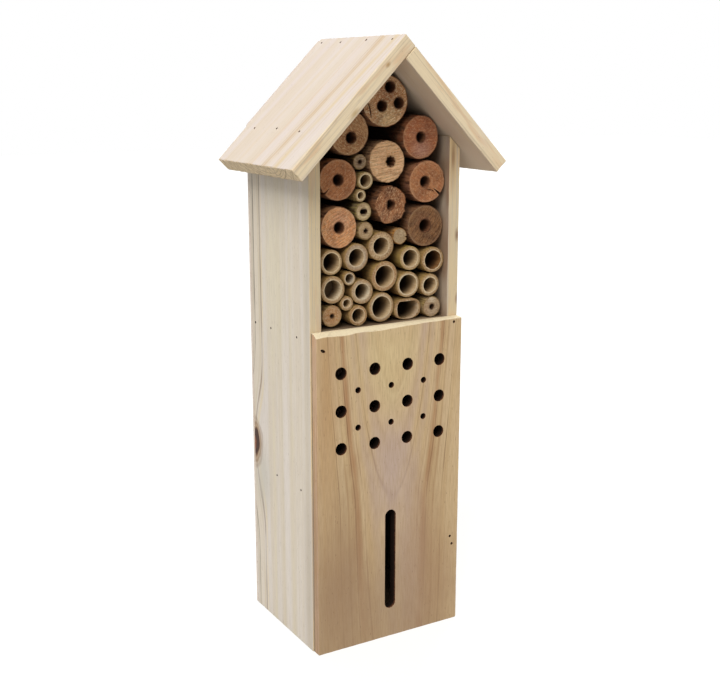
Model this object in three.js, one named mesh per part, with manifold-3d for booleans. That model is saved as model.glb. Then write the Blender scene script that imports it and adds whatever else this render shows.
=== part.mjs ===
// Insect hotel: a gabled house of softwood boards with a plywood back.
// Drilled logs, bamboo canes and pithy stems fill the upper room. A front board with round
// holes and a slot closes the two rooms below it.
// Millimetres: +X to the right, +Y to the rear, +Z up. The origin is on the ground, under the
// middle of the overall box.

import * as THREE from "three";
import { mergeVertices } from "three/addons/utils/BufferGeometryUtils.js";
import Module from "manifold-3d";

const wasm = await Module();
wasm.setup();

// House body
const ridgeHeight = 478;
const bodyWidth = 134;
const sideDepth = 102;
const sideThickness = 10;
const shelfThickness = 10;
const seam = 0.2;
const edgeBreak = 0.5;
const overrun = 4;

// Roof
const roofPitch = THREE.MathUtils.degToRad(45);
const roofSlope = 132;
const roofThickness = 12;
const roofOverhang = 25;

// Plywood back
const plyThickness = 3;
const plyEdgeBreak = 0.2;
const plyPeakRadius = 4;

// Front board; the shelf behind it stands a lip below its top edge
const frontHeight = 261.5;
const frontThickness = 8;
const frontInset = 1;
const frontLip = 1;
const planedDrop = 3.6;
const drilledRoomHeight = 113;

// Round holes and slot of the front board
const holePitch = 30;
const largeHole = 10;
const smallHole = 5;
const firstRowDrop = 32.5;
const slotWidth = 10;
const slotHeadroom = 17;
const slotSill = 15;

// Filling
const stickGap = 0.3;
const stickRecess = 4.5;
const recessSpread = 2.4;
const logDiameter = 34;
const logBore = 8.8;
const logBoreDepth = 80;
const caneDiameter = 21.5;
const caneWall = 3.2;
const caneBoreDepth = 86;
const stemDiameter = 14.5;
const stemPith = 3.4;
const stemPithDepth = 40;
const splitWidth = 2.4;

// Fasteners
const stapleCrown = 7;
const stapleLeg = 12;
const stapleThickness = 0.6;
const stapleWidth = 1.2;
const stapleInset = 5;
const bradHead = 2;
const bradHeadHeight = 0.8;
const bradShank = 1.3;
const bradLength = 22;
const bradSink = 0.8;
const bradInset = 5.6;
const bradFarInset = 7.6;
const fastenerGap = 0.25;

// Counts
const largeColumns = 4;
const largeRows = 3;
const logSides = 28;
const caneSides = 24;
const stemSides = 18;
const boreSides = 18;
const pithSides = 10;
const bradSides = 10;
const arcSegments = 9;
const bumpLobes = 5;
const settlePasses = 400;

// Levels and faces that follow from the sizes
const totalDepth = roofOverhang + sideDepth + seam + plyThickness;
const frontY = roofOverhang - totalDepth / 2;
const rearY = frontY + sideDepth;
const roofFrontY = frontY - roofOverhang;
const plyRearY = rearY + seam + plyThickness;
const frontBoardRearY = frontY - seam;
const frontBoardY = frontBoardRearY - frontThickness;
const outerHalf = bodyWidth / 2;
const innerHalf = outerHalf - sideThickness;
const frontHalf = outerHalf - frontInset;
const shelfTop = frontHeight - frontLip;
const drilledRoomTop = shelfTop - shelfThickness;
const dividerTop = drilledRoomTop - drilledRoomHeight;
const slotRoomTop = dividerTop - shelfThickness;
const roomHeight = ridgeHeight - roofThickness / Math.cos(roofPitch) - shelfTop;
const ridgeLap = (roofThickness + seam) / Math.sin(2 * roofPitch);

// Logs, canes and stems: name, place across and up the room, diameter and hollow. Places are
// shares of the room's clear width and height, the diameter is a share of its kind's usual one,
// and the hollow is a share of the usual bore of a log, wall of a cane or pith of a stem.
const logShares = [
  ["log_1", 0.008, 0.846, 1.2, 1.0],
  ["log_2", -0.259, 0.738, 1.01, 1.0],
  ["log_3", 0.289, 0.711, 1.01, 0.95],
  ["log_4", 0.045, 0.626, 0.975, 0.9],
  ["log_5", -0.341, 0.563, 0.955, 1.0],
  ["log_6", 0.347, 0.541, 1.0, 1.0],
  ["log_7", 0.067, 0.459, 0.95, 0.9],
  ["log_8", -0.333, 0.386, 0.95, 1.0],
  ["log_9", 0.344, 0.365, 1.0, 1.2],
];
const caneShares = [
  ["cane_1", -0.019, 0.302, 1.08, 1.45],
  ["cane_2", -0.206, 0.269, 1.01, 1.28],
  ["cane_3", -0.391, 0.257, 0.91, 0.8],
  ["cane_4", 0.234, 0.243, 0.92, 0.95],
  ["cane_5", 0.404, 0.232, 0.99, 0.9],
  ["cane_6", 0.011, 0.187, 1.12, 1.12],
  ["cane_7", -0.387, 0.153, 1.0, 1.0],
  ["cane_8", -0.147, 0.133, 0.93, 1.15],
  ["cane_9", 0.205, 0.141, 0.99, 0.8],
  ["cane_10", 0.384, 0.131, 0.85, 0.95],
  ["cane_11", -0.005, 0.065, 1.1, 1.0],
  ["cane_12", -0.193, 0.045, 0.77, 0.85],
  ["cane_13", 0.211, 0.049, 0.81, 0.95],
  ["reed_1", -0.127, 0.557, 0.63, 0.62],
  ["reed_2", -0.173, 0.502, 0.44, 0.6],
  ["reed_3", -0.253, 0.189, 0.51, 0.55],
  ["reed_4", -0.274, 0.094, 0.54, 0.8],
];
const stemShares = [
  ["stem_1", -0.156, 0.625, 0.83, 0.95],
  ["stem_2", -0.145, 0.437, 0.99, 1.55],
  ["stem_3", -0.131, 0.365, 0.98, 1.0],
  ["stem_4", 0.153, 0.336, 0.95, 0],
  ["stem_5", -0.391, 0.052, 1.21, 1.0],
  ["stem_6", 0.401, 0.045, 1.18, 1.35],
];

// What sets single sticks apart. Bore places, depths, bumps and the widening of a flattened
// cane are shares of the radius, turns are shares of a full turn from the right, and deeper is
// a share of the spread of the recesses.
const oddShares = {
  log_1: { boresAt: [[0.2, 0.5], [-0.14, -0.18], [0.58, -0.08]] },
  log_2: { boresAt: [[0.08, -0.2]] },
  log_4: { boresAt: [[0.18, 0]] },
  log_5: { splitTurn: 0.61, splitDepth: 0.3 },
  log_6: { splitTurn: 0.89, splitDepth: 0.7, boresAt: [[-0.12, 0]] },
  log_7: { bumps: 0.08 },
  cane_13: { widen: 0.47, square: 0.8 },
  stem_1: { deeper: 1.6 },
  stem_4: { splitTurn: 0.98, splitDepth: 0.3, bumps: 0.06 },
  stem_6: { chipTurn: 0.31, chipDepth: 0.18 },
};
const ovalShare = 0.03;
const goldenShare = (Math.sqrt(5) - 1) / 2;

// As much of the room's front view as sticks pushed close can fill
const closeShare = 0.76;

// Staples along a roof board, from clear of the ridge to the side panel's outer face, and up a
// side panel, and brads down the front board
const roofStapleShares = [0, 0.85];
const sideStapleShares = [0.945, 0.693, 0.373, 0.084];
const bradShares = [
  { side: -1, inset: bradInset, dropShare: 0.05 },
  { side: 1, inset: bradFarInset, dropShare: 0.013 },
  { side: 1, inset: bradFarInset, dropShare: 0.712 },
  { side: 1, inset: bradInset, dropShare: 0.739 },
];
const planedEndShare = 0.1;

// Finishes
const pine = { color: 0xd8c6a4, roughness: 0.72, metalness: 0 };
const roofPine = { color: 0xe6d9c4, roughness: 0.72, metalness: 0 };
const frontPine = { color: 0xc2a67c, roughness: 0.68, metalness: 0 };
const plywood = { color: 0xbf9c8c, roughness: 0.75, metalness: 0 };
const redLog = { color: 0xa5704e, roughness: 0.85, metalness: 0 };
const bamboo = { color: 0xbfa57a, roughness: 0.6, metalness: 0 };
const stemWood = { color: 0xb79a70, roughness: 0.8, metalness: 0 };
const zincSteel = { color: 0xa9a9a6, roughness: 0.35, metalness: 1 };
const bradSteel = { color: 0x4a4038, roughness: 0.55, metalness: 1 };

function node(name, geometry, finish) {
  const mesh = new THREE.Mesh(geometry, new THREE.MeshStandardMaterial(finish));
  mesh.name = name;
  return mesh;
}

// A three.js geometry as a solid that can be cut
function solid(geometry) {
  const bare = geometry.clone();
  bare.deleteAttribute("normal");
  bare.deleteAttribute("uv");
  const merged = mergeVertices(bare);
  return new wasm.Manifold(
    new wasm.Mesh({
      numProp: 3,
      vertProperties: new Float32Array(merged.attributes.position.array),
      triVerts: new Uint32Array(merged.index.array),
    }),
  );
}

// What is left of a geometry once the cutters are taken out of it
function cut(geometry, cutters) {
  const body = cutters.reduce((left, cutter) => left.subtract(solid(cutter)), solid(geometry));
  const { vertProperties, triVerts } = body.getMesh();
  const indexed = new THREE.BufferGeometry();
  indexed.setAttribute("position", new THREE.BufferAttribute(vertProperties, 3));
  indexed.setIndex(new THREE.BufferAttribute(triVerts, 1));
  const faceted = indexed.toNonIndexed();
  faceted.computeVertexNormals();
  return faceted;
}

// Points in front view, across and up
function outline(...corners) {
  return corners.map(([x, z]) => new THREE.Vector2(x, z));
}

// Straight prism of an outline in front view, from a far depth to a nearer one
function prism(shape, nearY, farY, ease = 0) {
  const geometry = new THREE.ExtrudeGeometry(shape, {
    depth: farY - nearY - 2 * ease,
    bevelEnabled: ease > 0,
    bevelThickness: ease,
    bevelSize: ease,
    bevelOffset: -ease,
    bevelSegments: 1,
    curveSegments: arcSegments,
  });
  geometry.translate(0, 0, ease);
  geometry.rotateX(Math.PI / 2);
  geometry.translate(0, farY, 0);
  return geometry;
}

// A board with its edges eased
function board(points, nearY, farY, ease = edgeBreak) {
  return prism(new THREE.Shape(points), nearY, farY, ease);
}

// Height of the roof's underside so far from the middle, less the seam under it
function undersideAt(x) {
  const drop = (roofThickness + seam) / Math.cos(roofPitch);
  return ridgeHeight - drop - Math.abs(x) * Math.tan(roofPitch);
}

// Point on a roof board in front view: so far down the slope and so far in from its outer face
function onSlope(side, along, inward) {
  return new THREE.Vector2(
    side * (along * Math.cos(roofPitch) - inward * Math.sin(roofPitch)),
    ridgeHeight - along * Math.sin(roofPitch) - inward * Math.cos(roofPitch),
  );
}

// Place of a fastener: a point in front view at a depth, turned about the depth axis
function seat(name, x, y, z, turn = 0) {
  const place = new THREE.Object3D();
  place.name = name;
  place.position.set(x, y, z);
  place.rotation.y = turn;
  place.updateMatrix();
  return place;
}

function stapleSeats(side) {
  const word = side < 0 ? "left" : "right";
  const first = ridgeLap + stapleCrown;
  const covered = outerHalf / Math.cos(roofPitch);
  const roofSeats = roofStapleShares.map((share, i) => {
    const at = onSlope(side, first + (covered - first) * share, stapleInset);
    return seat(`staple_roof_${word}_${i + 1}`, at.x, plyRearY, at.y, side * roofPitch);
  });
  const sideSeats = sideStapleShares.map((share, i) => {
    const x = side * (outerHalf - stapleInset);
    const z = undersideAt(outerHalf) * share;
    return seat(`staple_side_${word}_${i + 1}`, x, plyRearY, z, Math.PI / 2);
  });
  return { roofSeats, sideSeats };
}

function bradSeats(side) {
  return bradShares
    .filter((brad) => brad.side === side)
    .map(({ inset, dropShare }, i) => {
      const word = side < 0 ? "left" : "right";
      const z = frontHeight * (1 - dropShare);
      return seat(`brad_${word}_${i + 1}`, side * (frontHalf - inset), frontBoardY + bradSink, z);
    });
}

// Staple with its legs to the front; with room round it, it cuts its own holes
function staple(room = 0, proud = 0) {
  const half = stapleCrown / 2 + room;
  const inner = stapleCrown / 2 - stapleThickness - room;
  const tip = -stapleLeg - room;
  const throat = -stapleThickness - room;
  const width = stapleWidth + 2 * room;
  const shape = new THREE.Shape(
    outline(
      [-half, proud],
      [-half, tip],
      [-inner, tip],
      [-inner, throat],
      [inner, throat],
      [inner, tip],
      [half, tip],
      [half, proud],
    ),
  );
  const geometry = new THREE.ExtrudeGeometry(shape, { depth: width, bevelEnabled: false });
  geometry.translate(0, 0, -width / 2);
  return geometry;
}

// Brad turned round the line that it is driven along; with room round it, it cuts its own hole
function brad(room = 0, proud = 0) {
  const head = bradHead / 2 + room;
  const shank = bradShank / 2 + room;
  const points = outline(
    [0, -proud],
    [head, -proud],
    [head, bradHeadHeight + room],
    [shank, bradHeadHeight + room],
    [shank, bradLength + room],
    [0, bradLength + room],
  );
  return new THREE.LatheGeometry(points, bradSides);
}

function cuttersAt(seats, cutter) {
  return seats.map((place) => cutter.clone().applyMatrix4(place.matrix));
}

function fastenersAt(seats, form, finish) {
  return seats.map((place) => {
    const mesh = node(place.name, form, finish);
    mesh.applyMatrix4(place.matrix);
    return mesh;
  });
}

const stapleCutter = staple(fastenerGap, overrun);
const bradCutter = brad(fastenerGap, overrun);

// Side panel with its top bevelled to the roof's underside
function sidePanel(side) {
  const points = outline(
    [side * innerHalf, 0],
    [side * outerHalf, 0],
    [side * outerHalf, undersideAt(outerHalf)],
    [side * innerHalf, undersideAt(innerHalf)],
  );
  return cut(board(points, frontY, rearY), [
    ...cuttersAt(stapleSeats(side).sideSeats, stapleCutter),
    ...cuttersAt(bradSeats(side), bradCutter),
  ]);
}

// Roof board: the left one laps over the top edge of the right one, which starts under it
function roofBoard(side) {
  const top = onSlope(side, side < 0 ? 0 : ridgeLap, 0);
  const end = roofThickness / Math.sin(2 * roofPitch);
  const downOtherSide = onSlope(-side, end, 0).sub(onSlope(-side, 0, 0));
  const points = [
    top,
    onSlope(side, roofSlope, 0),
    onSlope(side, roofSlope, roofThickness),
    top.clone().add(downOtherSide),
  ];
  const staples = cuttersAt(stapleSeats(side).roofSeats, stapleCutter);
  return cut(board(points, roofFrontY, rearY), staples);
}

// Plywood back, up to the roof's outer faces, with a rounded peak
function backPanel() {
  const shoulder = ridgeHeight - outerHalf * Math.tan(roofPitch);
  const right = onSlope(1, plyPeakRadius, 0);
  const left = onSlope(-1, plyPeakRadius, 0);
  const shape = new THREE.Shape();
  shape.moveTo(-outerHalf, 0);
  shape.lineTo(outerHalf, 0);
  shape.lineTo(outerHalf, shoulder);
  shape.lineTo(right.x, right.y);
  shape.quadraticCurveTo(0, ridgeHeight, left.x, left.y);
  shape.lineTo(-outerHalf, shoulder);
  const seats = [-1, 1].flatMap((side) => Object.values(stapleSeats(side)).flat());
  return cut(prism(shape, rearY + seam, plyRearY, plyEdgeBreak), cuttersAt(seats, stapleCutter));
}

// A shelf between the side panels
function shelf(top) {
  const half = innerHalf - seam;
  const bottom = top - shelfThickness;
  const points = outline([-half, bottom], [half, bottom], [half, top], [-half, top]);
  return board(points, frontY, rearY);
}

// Bits that drill rows of large holes with small ones between them, and cut the slot below
function frontBits() {
  const round = (x, z, diameter) =>
    new THREE.Shape().absarc(x, z, diameter / 2, 0, 2 * Math.PI);
  const shapes = [];
  for (let row = 0; row < largeRows; row++) {
    const z = frontHeight - firstRowDrop - row * holePitch;
    for (let column = 0; column < largeColumns; column++) {
      const x = (column - (largeColumns - 1) / 2) * holePitch;
      shapes.push(round(x, z, largeHole));
      if (row < largeRows - 1 && column < largeColumns - 1)
        shapes.push(round(x + holePitch / 2, z - holePitch / 2, smallHole));
    }
  }
  const radius = slotWidth / 2;
  const slot = new THREE.Shape();
  slot.absarc(0, slotRoomTop - slotHeadroom - radius, radius, 0, Math.PI);
  slot.absarc(0, shelfThickness + slotSill + radius, radius, Math.PI, 2 * Math.PI);
  shapes.push(slot);
  return shapes.map((shape) =>
    prism(shape, frontBoardY - overrun, frontBoardRearY + overrun),
  );
}

// Wedge over the front board's top edge: it planes the front arris away, most at the left end
function planedWedge() {
  const reach = frontThickness + overrun;
  const foot = (-planedDrop * reach) / frontThickness;
  const shape = new THREE.Shape(outline([0, 0], [reach, foot], [reach, overrun], [0, overrun]));
  const length = 2 * (frontHalf + overrun);
  const geometry = new THREE.ExtrudeGeometry(shape, { depth: length, bevelEnabled: false });
  const toFront = new THREE.Vector3(0, -1, 0);
  const up = new THREE.Vector3(0, 0, 1);
  const toLeft = new THREE.Vector3(-1, 0, 0);
  geometry.translate(0, 0, -length / 2);
  geometry.applyMatrix4(new THREE.Matrix4().makeBasis(toFront, up, toLeft));
  const corners = geometry.getAttribute("position");
  for (let i = 0; i < corners.count; i++)
    if (corners.getZ(i) < 0 && corners.getX(i) > 0) corners.setZ(i, foot * planedEndShare);
  geometry.translate(0, frontBoardRearY, frontHeight);
  return geometry;
}

function frontBoard() {
  const points = outline(
    [-frontHalf, 0],
    [frontHalf, 0],
    [frontHalf, frontHeight],
    [-frontHalf, frontHeight],
  );
  const seats = [...bradSeats(-1), ...bradSeats(1)];
  return cut(board(points, frontBoardY, frontBoardRearY), [
    planedWedge(),
    ...frontBits(),
    ...cuttersAt(seats, bradCutter),
  ]);
}

// Sticks of one kind, at the places that they are first pushed to
function sticksOf(rows, kind) {
  return rows.map(([name, across, up, size, hollow]) => {
    const odd = oddShares[name] ?? {};
    const radius = (kind.diameter * size) / 2;
    return {
      name,
      odd,
      hollow,
      radius,
      ...kind,
      x: across * 2 * innerHalf,
      z: up * roomHeight,
      spread: radius * (odd.widen ?? 0),
    };
  });
}

// From the axis of one stick to another's, less what flattened sticks reach sideways
function between(a, b) {
  const across = a.x - b.x;
  const free = Math.max(Math.abs(across) - a.spread - b.spread, 0);
  return new THREE.Vector2(Math.sign(across) * free, a.z - b.z);
}

// Walls round a stick: the way that each pushes and how far off the axis it is
function wallsRound({ x, z, spread }) {
  const rise = Math.sin(roofPitch);
  const run = Math.cos(roofPitch);
  const fromRoof = (side) => (roomHeight - z) * run - (side * x + spread) * rise;
  return [
    { push: new THREE.Vector2(1, 0), off: innerHalf + x - spread },
    { push: new THREE.Vector2(-1, 0), off: innerHalf - x - spread },
    { push: new THREE.Vector2(0, 1), off: z },
    { push: new THREE.Vector2(rise, -run), off: fromRoof(-1) },
    { push: new THREE.Vector2(-rise, -run), off: fromRoof(1) },
  ];
}

function shift(stick, way, distance) {
  stick.x += way.x * distance;
  stick.z += way.y * distance;
}

// Where the room is too small for the sticks, all of them are picked thinner
function pick(sticks) {
  const gable = innerHalf * Math.tan(roofPitch);
  const room = 2 * innerHalf * (roomHeight - gable / 2);
  const ends = sticks.reduce(
    (sum, { radius, spread }) => sum + (Math.PI * radius + 4 * spread) * radius,
    0,
  );
  const size = Math.min(1, Math.sqrt((closeShare * room) / ends));
  for (const stick of sticks) {
    stick.radius *= size;
    stick.spread *= size;
  }
}

// Sticks packed by hand: pushed apart and off the walls until all of them have their clearance
function settle(sticks) {
  for (let pass = 0; pass < settlePasses; pass++)
    for (const [i, a] of sticks.entries()) {
      for (const b of sticks.slice(i + 1)) {
        const way = between(a, b);
        const short = a.radius + b.radius + stickGap - way.length();
        if (short <= 0) continue;
        way.normalize();
        shift(a, way, short / 2);
        shift(b, way, -short / 2);
      }
      for (const { push, off } of wallsRound(a))
        shift(a, push, Math.max(a.radius + stickGap - off, 0));
    }
}

// A stick that is still tight is picked as much thinner as its tightest neighbour asks
function thin(sticks) {
  const fits = sticks.map((a) => {
    const others = sticks.filter((b) => b !== a);
    const toSticks = others.map((b) => (between(a, b).length() - stickGap) / (a.radius + b.radius));
    const toWalls = wallsRound(a).map(({ off }) => (off - stickGap) / a.radius);
    return Math.min(1, ...toSticks, ...toWalls);
  });
  sticks.forEach((stick, i) => {
    stick.radius *= fits[i];
  });
}

// Rim of a stick, a little out of round, and never outside its own circle
function rim({ radius, spread, odd, lean }, sides) {
  return Array.from({ length: sides }, (_, i) => {
    const turn = (2 * Math.PI * i) / sides;
    const oval = ovalShare * Math.sin(turn - lean) ** 2;
    const bumps = (odd.bumps ?? 0) * Math.sin((bumpLobes / 2) * turn - lean) ** 2;
    const reach = radius * (1 - oval - bumps);
    const power = odd.square ?? 1;
    const [across, up] = [Math.cos(turn), Math.sin(turn)].map(
      (part) => Math.sign(part) * Math.abs(part) ** power,
    );
    return new THREE.Vector2((reach + spread) * across, reach * up);
  });
}

function turned(points, turnShare) {
  const pivot = new THREE.Vector2();
  return points.map((point) => point.rotateAround(pivot, 2 * Math.PI * turnShare));
}

// Wedge of a split that runs in from the rim
function splitCutter({ radius, odd }, length) {
  const mouth = splitWidth / 2;
  const far = radius + overrun;
  const points = outline(
    [radius * (1 - odd.splitDepth), 0],
    [radius, -mouth],
    [far, -mouth],
    [far, mouth],
    [radius, mouth],
  );
  return board(turned(points, odd.splitTurn), -length - overrun, overrun, 0);
}

// Block that takes a flat chip off one side
function chipCutter({ radius, odd }, length) {
  const flat = radius * (1 - odd.chipDepth);
  const far = radius + overrun;
  const points = outline([flat, -far], [far, -far], [far, far], [flat, far]);
  return board(turned(points, odd.chipTurn), -length - overrun, overrun, 0);
}

// Stick with its rear end at zero: bores run in from the front end
function stick(part, length) {
  const cutters = boresOf(part).map((points) =>
    board(points, -length - overrun, part.boreDepth - length, 0),
  );
  if (part.odd.splitTurn) cutters.push(splitCutter(part, length));
  if (part.odd.chipTurn) cutters.push(chipCutter(part, length));
  return cut(board(rim(part, part.sides), -length, 0, 0), cutters);
}

// Outlines of a stick's bores: drilled in a log, natural in a cane and in a stem's pith
function boresOf(part) {
  const places = part.odd.boresAt ?? [[0, 0]];
  const width = part.boreOf(part);
  if (width <= 0) return [];
  return places.map(([across, up]) =>
    rim({ ...part, radius: width / 2 }, part.boreSides).map((point) =>
      point.add(new THREE.Vector2(across * part.radius, up * part.radius)),
    ),
  );
}

const log = {
  diameter: logDiameter,
  sides: logSides,
  boreSides,
  boreDepth: logBoreDepth,
  boreOf: ({ hollow }) => logBore * hollow,
  finish: redLog,
};
const cane = {
  diameter: caneDiameter,
  sides: caneSides,
  boreSides,
  boreDepth: caneBoreDepth,
  boreOf: ({ radius, hollow }) => 2 * (radius - caneWall * hollow),
  finish: bamboo,
};
const stem = {
  diameter: stemDiameter,
  sides: stemSides,
  boreSides: pithSides,
  boreDepth: stemPithDepth,
  boreOf: ({ hollow }) => stemPith * hollow,
  finish: stemWood,
};

// The upper room's filling, with the faces set back by uneven amounts
function filling() {
  const sticks = [
    ...sticksOf(logShares, log),
    ...sticksOf(caneShares, cane),
    ...sticksOf(stemShares, stem),
  ];
  pick(sticks);
  settle(sticks);
  thin(sticks);
  const group = new THREE.Group();
  group.position.set(0, rearY, shelfTop);
  sticks.forEach((part, i) => {
    part.lean = 2 * Math.PI * ((i * goldenShare) % 1);
    const uneven = part.odd.deeper ?? (i * goldenShare) % 1;
    const length = sideDepth - stickRecess - recessSpread * uneven;
    const mesh = node(part.name, stick(part, length), part.finish);
    mesh.position.set(part.x, 0, part.z);
    group.add(mesh);
  });
  return group;
}

const boards = new THREE.Group();
boards.add(
  node("left_side_panel", sidePanel(-1), pine),
  node("right_side_panel", sidePanel(1), pine),
  node("roof_board_left", roofBoard(-1), roofPine),
  node("roof_board_right", roofBoard(1), roofPine),
  node("back_panel", backPanel(), plywood),
  node("front_panel", frontBoard(), frontPine),
  node("tube_shelf", shelf(shelfTop), pine),
  node("divider_shelf", shelf(dividerTop), pine),
  node("base_board", shelf(shelfThickness), pine),
);

const fasteners = new THREE.Group();
for (const side of [-1, 1]) {
  const { roofSeats, sideSeats } = stapleSeats(side);
  fasteners.add(
    ...fastenersAt([...roofSeats, ...sideSeats], staple(), zincSteel),
    ...fastenersAt(bradSeats(side), brad(), bradSteel),
  );
}

const insectHotel = new THREE.Group();
insectHotel.add(boards, filling(), fasteners);

export default insectHotel;
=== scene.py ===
import math

import bmesh
import bpy
import numpy as np
from mathutils import Matrix, Vector, noise

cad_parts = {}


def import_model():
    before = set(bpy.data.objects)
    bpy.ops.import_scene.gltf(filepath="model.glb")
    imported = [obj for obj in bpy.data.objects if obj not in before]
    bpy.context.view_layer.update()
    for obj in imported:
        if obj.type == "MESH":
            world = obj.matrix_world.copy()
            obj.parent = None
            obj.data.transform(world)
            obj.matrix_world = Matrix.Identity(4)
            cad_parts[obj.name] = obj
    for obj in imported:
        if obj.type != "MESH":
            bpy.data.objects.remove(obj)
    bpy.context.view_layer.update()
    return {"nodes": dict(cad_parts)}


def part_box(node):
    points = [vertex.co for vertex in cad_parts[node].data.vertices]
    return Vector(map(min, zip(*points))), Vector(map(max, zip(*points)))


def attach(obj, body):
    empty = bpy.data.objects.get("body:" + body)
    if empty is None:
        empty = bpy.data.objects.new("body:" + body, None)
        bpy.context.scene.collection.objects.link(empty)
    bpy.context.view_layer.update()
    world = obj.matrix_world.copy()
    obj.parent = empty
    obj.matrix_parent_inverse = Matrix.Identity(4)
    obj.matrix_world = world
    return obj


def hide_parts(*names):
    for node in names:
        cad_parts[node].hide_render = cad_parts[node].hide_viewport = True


# Dresses the insect hotel: eased and grained boards, sawn logs, bamboo and stems with their
# bores, sunk brads and staples. Meshes are made in millimetres and stored in metres.

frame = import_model()

MM = 0.001
BODY = "root"
ROOF_PITCH = math.radians(45)
X, Y, Z = np.eye(3)

# Taken as a size, this leaves its axis out
THROUGH = math.inf

# How far cuts reach beyond a surface, in mm, and what counts as no distance at all
OVERRUN = 4
TINY = 1e-6


def box_mm(node):
    """Lowest and highest corner of a CAD node in millimetres."""
    low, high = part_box(node)
    return np.array(low) / MM, np.array(high) / MM


# Shader helpers

def linear(code):
    """An sRGB hex colour as the linear colour that a shader takes."""
    shares = [int(code[i:i + 2], 16) / 255 for i in (1, 3, 5)]
    curve = [c / 12.92 if c <= 0.04045 else ((c + 0.055) / 1.055) ** 2.4 for c in shares]
    return (*curve, 1.0)


def add(tree, kind, inputs=None, out=0, **settings):
    """Adds a shader node with its settings and links, and returns one of its outputs."""
    made = tree.nodes.new("ShaderNode" + kind)
    for name, value in settings.items():
        setattr(made, name, value)
    for key, value in (inputs or {}).items():
        if isinstance(value, bpy.types.NodeSocket):
            tree.links.new(value, made.inputs[key])
        else:
            made.inputs[key].default_value = value
    return made.outputs[out]


class Finish:
    """A material in the making: its nodes, its place in millimetres and its colour so far."""

    def __init__(self, name, roughness, base, **sockets):
        self.material = bpy.data.materials.new(name)
        self.material.use_nodes = True
        self.tree = self.material.node_tree
        self.shader = self.tree.nodes["Principled BSDF"]
        self.shader.inputs["Roughness"].default_value = roughness
        for key, value in sockets.items():
            self.shader.inputs[key.replace("_", " ")].default_value = value
        metres = add(self.tree, "TexCoord", out="Object")
        self.place = add(self.tree, "VectorMath", {0: metres, "Scale": 1 / MM}, operation="SCALE")
        self.axes = add(self.tree, "SeparateXYZ", {0: self.place}).node.outputs
        self.colour = linear(base)

    def cloud(self, size, detail=2.0, seed=0.0, place=None, grit=0.5):
        """Random clouds of about that size in mm along each axis, around 0.5. Grit is how much
        finer detail they carry."""
        shrunk = add(self.tree, "VectorMath", {0: place or self.place, 1: [1 / s for s in size]},
                     operation="MULTIPLY")
        return add(self.tree, "TexNoise",
                   {"Vector": shrunk, "W": seed, "Scale": 1.0, "Detail": detail,
                    "Roughness": grit},
                   noise_dimensions="4D")

    def away(self, value, centre):
        """How far a value is from a centre."""
        gap = add(self.tree, "Math", {0: value, 1: centre}, operation="SUBTRACT")
        return add(self.tree, "Math", {0: gap}, operation="ABSOLUTE")

    def reach(self, centre, size):
        """Distance from a centre in shares of a size along each axis."""
        shares = [1 / s for s in size]
        start = [-c * share for c, share in zip(centre, shares)]
        spread = add(self.tree, "VectorMath", {0: self.place, 1: shares, 2: start},
                     operation="MULTIPLY_ADD")
        return add(self.tree, "VectorMath", {0: spread}, out="Value", operation="LENGTH")

    def facing(self, axis):
        """1 on faces square to an axis, 0 on faces along it."""
        normal = add(self.tree, "NewGeometry", out="True Normal")
        share = add(self.tree, "VectorMath", {0: normal, 1: axis}, out="Value",
                    operation="DOT_PRODUCT")
        return add(self.tree, "Math", {0: share}, operation="ABSOLUTE")

    def stain(self, code, value, strength=1.0, low=0.38, high=0.62, where=None):
        """Lets another colour in as a value goes from low to high, and only where a mask is 1."""
        share = add(self.tree, "MapRange", {0: value, 1: low, 2: high, 4: strength},
                    interpolation_type="SMOOTHSTEP")
        if where is not None:
            share = add(self.tree, "Math", {0: share, 1: where}, operation="MULTIPLY")
        self.colour = add(self.tree, "Mix", {0: share, 6: self.colour, 7: linear(code)}, out=2,
                          data_type="RGBA")

    def finished(self, height=None, depth_mm=0.1, strength=0.5):
        """The material, with its colour and its bumps of that depth."""
        if isinstance(self.colour, tuple):
            self.shader.inputs["Base Color"].default_value = self.colour
        else:
            self.tree.links.new(self.colour, self.shader.inputs["Base Color"])
        if height is not None:
            bump = add(self.tree, "Bump", {"Height": height, "Distance": depth_mm * MM,
                                           "Strength": strength})
            self.tree.links.new(bump, self.shader.inputs["Normal"])
        return self.material


# Board finishes. A board's u, v and w run along its grain, across it and through it.

# A softwood look, unless its board says otherwise. Its pith leans across the board, and past
# turn_u it dives below the face, each by a share of the way along. Bands are stains in the growth
# rings, as place, width, colour and strength, and areas are stains as centre, size, colour and
# strength. The last row holds the strengths of its other stains.
SOFTWOOD = {
    "seed": 0.0, "knots": (), "bands": (), "areas": (), "wander_mm": 4.0, "lean": 0.0, "start": 0.0,
    "turn_u": 0.0, "low_dive": 0.0, "dive": 0.0, "streak_mm": 5.0, "ring_mm": 1.6,
    "tints": 0.6, "streaks": 0.8, "lines": 0.35, "fibres": 0.22, "flecks": 0.4, "torn": 0.45,
}
# Painted shade for places deep among the sticks, in bores and inside the room
PAINTED_DEPTH_SHADE = "#2A1D14"
EDGE_BLUSH = "#D9A878"

# Shares of its size at which a soft spot has faded out
SPREAD = 1.8

# How widely the two slopes of a diving pith run into each other, in mm
DIVE_BEND = 1.5

# Middle of the arcs that a board's sawn end shows
SAWN_PITH = (0, 45, -35)


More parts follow.
